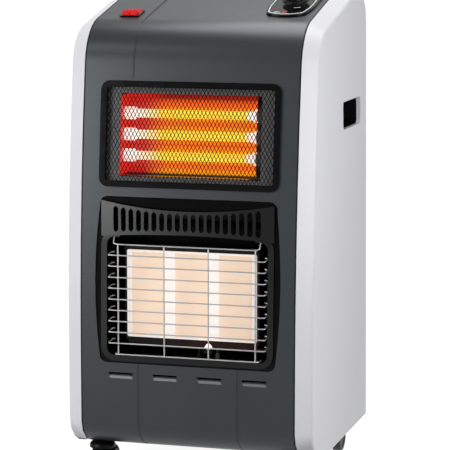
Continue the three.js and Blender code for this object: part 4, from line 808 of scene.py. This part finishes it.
def outline(seated, crown):
    """A white bead, 1.5 mm wide and 0.6 mm high, that follows the plate's edge 3.4 mm inside it."""
    # in millimetres from the knob's axis, +Y up the slope
    corners = [(-35, -56.5), (-14, -66), (7, -66), (28, -56.5), (33.5, -20), (33.5, 62), (-40.5, 62), (-40.5, -20)]
    bead = bmesh.new()
    bead.faces.new([bead.verts.new((x * MM, y * MM, crown)) for x, y in corners])
    bmesh.ops.bevel(bead, geom=bead.verts[:], offset=9 * MM, segments=5, profile=0.5, affect="VERTICES",
                    material=-1, clamp_overlap=True)
    for inset, keeps_middle in ((3.4 * MM, True), (1.5 * MM, False)):
        bmesh.ops.inset_region(bead, faces=bead.faces[:], thickness=inset, use_even_offset=True, use_boundary=True)
        middle = max(bead.faces, key=lambda face: face.calc_area())
        spare = [face for face in bead.faces if (face == middle) != keeps_middle]
        bmesh.ops.delete(bead, geom=spare, context="FACES")
    thicken(bead, (0, 0, 0.6 * MM))
    bead.transform(seated)
    piece("plate_outline", bead, white_ink, "cabinet")


def marks(seated, low):
    """Printed on the plate's face, whose height is low in millimetres: a short arc, a red dot and a dash."""
    high = low + 0.15
    arc = lathe([(27, low), (27, high), (24.6, high), (24.6, low)], 12, math.radians(24),
                UPRIGHT @ Matrix.Rotation(math.radians(96), 4, "X"))
    arc.transform(seated)
    piece("setting_mark", arc, white_ink, "cabinet")
    dot = lathe([(0, low), (0, high), (3.2, high), (3.2, low)], 20, place=UPRIGHT)
    dot.transform(seated @ Matrix.Translation((-6 * MM, -50 * MM, 0)) @ Matrix.Diagonal((1.3, 1.9, 1, 1)))
    piece("heat_mark", dot, red_ink, "cabinet")
    piece("off_mark", block(-23, -13, -53, -49.5, low, high, seated), white_ink, "cabinet")


def control_knob():
    """A moulded knob: flat skirt, fluted grip with a rounded crown, and a pointer ridge with a white line."""
    seated = on_top(*KNOB_SPOT)
    low = 7.6
    skirt = lathe([(3.4, low), (20.6, low), (21.5, low + 0.9), (21.3, low + 2.6), (20.2, low + 3.8), (17.5, low + 4.2),
                   (3.4, low + 4.2)], 64, place=UPRIGHT)
    # eighty facets make ten flutes, each cut into three of its eight corners
    grip = bmesh.new()
    bmesh.ops.create_cone(grip, cap_ends=True, segments=80, radius1=17.2 * MM, radius2=16.2 * MM, depth=21 * MM)
    for vert in grip.verts:
        turn = round(math.degrees(math.atan2(vert.co.y, vert.co.x)) / 4.5) % 8
        if turn in (0, 1, 7):
            vert.co.xy *= 0.90 if turn == 0 else 0.93
    crest = [edge for edge in grip.edges if all(vert.co.z > 10 * MM for vert in edge.verts)]
    soften(grip, crest, 1.8 * MM, 4)
    bmesh.ops.translate(grip, verts=grip.verts, vec=(0, 0, (low + 4 + 10.5) * MM))
    ridge = block(-1.8, 1.8, -19, -2, low + 2, low + 26.2, None, 0.6)
    build = join(skirt, grip, ridge)
    build.transform(seated)
    piece("knob_finished", build, finishes["black_plastic"], "knob", math.radians(40),
          ["control_knob"])
    line = block(-0.5, 0.5, -18.2, -6, low + 26.1, low + 26.35, seated)
    piece("knob_line", line, white_ink, "knob")


def switch_and_valve():
    """The double switch, and the valve under the plate with its spindle and pipe."""
    dress("switch_housing", 0.5 * MM, gloss_black)
    for name in ("rocker_left", "rocker_right"):
        dress(name, 0.7 * MM, limit=math.radians(40))
    dress("gas_valve", 0.4 * MM, limit=math.radians(40))
    dress("valve_spindle", 0.2 * MM, limit=math.radians(40))
    dress("gas_pipe", 0.0, limit=math.radians(50))


# --------------------------------------------------------------------------------- casters
def casters():
    """Twin wheels on an axle under a hood with rounded shoulders, and the stem that turns in the base."""
    wheel = [(2.9, 3.5), (22.5, 3.5), (24.4, 3.9), (25, 5), (25, 15.6), (24.6, 17), (23.2, 18.2), (20, 18.5),
             (17.5, 18.3), (16, 17), (7, 16.8), (6, 18), (2.9, 18.2)]
    twin = [(radius, -along) for radius, along in reversed(wheel)]
    axle = [(0, -18), (2.9, -18), (2.9, 18), (0, 18)]
    hood = [(28, 16.6), (29.2, 16.2), (30.3, 15), (31, 12.8), (31, -12.8), (30.3, -15), (29.2, -16.2), (28, -16.6)]
    web = [(3.4, 2.5), (28.6, 2.5), (28.6, -2.5), (3.4, -2.5)]
    hub = [(3.4, 2.5), (6.5, 2.5), (6.5, -2.5), (3.4, -2.5)]
    stem = [(0, 28.6), (19.6, 28.6), (21, 29.8), (21, 33), (20, 35.6), (17.6, 38), (12, 40.4), (8.4, 41.3),
            (8, 42.5), (5, 42.7), (5, 66.2), (4.2, 67), (0, 67)]
    # hood and web cover this much of a turn, from low at the front over the top to the rear
    sweep, lean = math.radians(151.2), Matrix.Rotation(math.radians(-79.2), 4, "X")
    # the stem stands 12 mm ahead of the axle, which is 25 mm up
    stem_seat = Matrix.Translation((0, -12 * MM, 0)) @ UPRIGHT
    for corner, x, y, turn in (("front_left", -157, -134, 0), ("front_right", 157, -134, 0),
                               ("rear_left", -157, 138, math.pi), ("rear_right", 157, 138, math.pi)):
        place = Matrix.Translation((x * MM, y * MM + SHIFT_Y, 25 * MM)) @ Matrix.Rotation(turn, 4, "Z")
        build = join(lathe(wheel), lathe(twin), lathe(axle, 24))
        build.transform(place)
        piece("wheels_" + corner, build, finishes["black_rubber"], "wheels_" + corner,
              math.radians(35), ["caster_wheels_" + corner])
        build = join(lathe(hood, 40, sweep, lean), lathe(web, 40, sweep, lean), lathe(hub, 32),
                     lathe(stem, 40, place=stem_seat))
        build.transform(place)
        piece("fork_" + corner, build, finishes["black_plastic"], "fork_" + corner,
              math.radians(35), ["caster_fork_" + corner])


cabinet_shell()
seams()
electric_heater()
burner()
wire_guard()
control_plate()
control_knob()
switch_and_valve()
casters()


# ------------------------------------------------------------------------ stage and lighting
def white_paper():
    """Paper floor, white to the camera and through glass; reflections see it white behind and dim in front."""
    material, tree, place = start("white_paper", "#a0a0a0", 0.95, Specular_IOR_Level=0.0)
    path = put(tree, "ShaderNodeLightPath")
    depth = put(tree, "ShaderNodeSeparateXYZ", {"Vector": place}).outputs["Y"]
    behind = put(tree, "ShaderNodeMapRange", {"Value": depth, "From Min": -0.4, "From Max": 0.1,
                                              "To Min": 0.12, "To Max": 1.0}).outputs["Result"]
    mirrored = put(tree, "ShaderNodeMath", {0: path.outputs["Is Glossy Ray"], 1: behind},
                   operation="MULTIPLY").outputs[0]
    seen = put(tree, "ShaderNodeMath", {0: path.outputs["Is Camera Ray"], 1: path.outputs["Is Transmission Ray"]},
               operation="MAXIMUM").outputs[0]
    shown = put(tree, "ShaderNodeMath", {0: seen, 1: mirrored}, operation="MAXIMUM").outputs[0]
    lift = put(tree, "ShaderNodeMath", {0: shown, 1: 0.9}, operation="MULTIPLY").outputs[0]
    tree.nodes["Principled BSDF"].inputs["Emission Color"].default_value = (1, 1, 1, 1)
    feed(tree, Emission_Strength=lift)
    return material


def lay_stage():
    """One wide sheet of paper on the floor."""
    build = bmesh.new()
    bmesh.ops.create_grid(build, x_segments=1, y_segments=1, size=80)
    mesh = bpy.data.meshes.new("floor")
    build.to_mesh(mesh)
    build.free()
    mesh.materials.append(white_paper())
    floor = bpy.data.objects.new("floor", mesh)
    bpy.context.collection.objects.link(floor)


def lamp(name, at, aim, size, watts):
    """A white soft box that the camera doesn't see."""
    data = bpy.data.lights.new(name, "AREA")
    data.shape = "RECTANGLE"
    data.size, data.size_y = size
    data.energy = watts
    light = bpy.data.objects.new(name, data)
    light.location = at
    light.rotation_euler = (Vector(aim) - Vector(at)).to_track_quat("-Z", "Y").to_euler()
    light.visible_camera = False
    bpy.context.collection.objects.link(light)


def light_room():
    """White all round to the camera; reflections see white behind the heater and a dim room in front of it."""
    world = bpy.data.worlds.new("studio")
    world.use_nodes = True
    tree = world.node_tree
    background = tree.nodes["Background"]
    background.inputs["Color"].default_value = (1, 1, 1, 1)
    path = put(tree, "ShaderNodeLightPath")
    shown = put(tree, "ShaderNodeMath", {0: path.outputs["Is Camera Ray"], 1: path.outputs["Is Transmission Ray"]},
                operation="MAXIMUM").outputs[0]
    way = put(tree, "ShaderNodeSeparateXYZ", {"Vector": put(tree, "ShaderNodeTexCoord").outputs["Generated"]})
    behind = put(tree, "ShaderNodeMapRange",
                 {"Value": way.outputs["Y"], "From Min": -0.2, "From Max": 0.9}).outputs["Result"]
    low = put(tree, "ShaderNodeMapRange", {"Value": way.outputs["Z"], "From Min": 0.1, "From Max": 1.1,
                                           "To Min": 1.0, "To Max": 0.25}).outputs["Result"]
    wall = put(tree, "ShaderNodeMath", {0: behind, 1: low}, operation="MULTIPLY").outputs[0]
    room = put(tree, "ShaderNodeMapRange", {"Value": wall, "To Min": 0.12, "To Max": 1.0}).outputs["Result"]
    mirrored = put(tree, "ShaderNodeMath", {0: room, 1: path.outputs["Is Glossy Ray"]},
                   operation="MULTIPLY").outputs[0]
    plain = put(tree, "ShaderNodeMapRange", {"Value": path.outputs["Is Glossy Ray"], "To Min": 0.345,
                                             "To Max": 0.0}).outputs["Result"]
    unseen = put(tree, "ShaderNodeMath", {0: mirrored, 1: plain}, operation="ADD").outputs[0]
    level = put(tree, "ShaderNodeMapRange", {"Value": shown, "To Min": unseen, "To Max": 1.0}).outputs["Result"]
    tree.links.new(level, background.inputs["Strength"])
    bpy.context.scene.world = world
    lamp("key_at_left", (-1.0, -1.15, 0.68), (-0.15, -0.2, 0.5), (0.65, 0.85), 12.9)
    lamp("card_at_right", (0.78, -0.6, 0.6), (0.2, -0.1, 0.45), (0.35, 0.6), 4.0)
    lamp("card_above", (-0.8, -1.1, 1.75), (-0.05, -0.2, 0.3), (0.3, 0.3), 1.5)
    lamp("overhead", (0.1, 0.08, 1.42), (0.03, -0.05, 0.74), (0.8, 0.6), 5.3)


place_camera()
lay_stage()
light_room()
scene = bpy.context.scene
scene.view_settings.view_transform = "Standard"
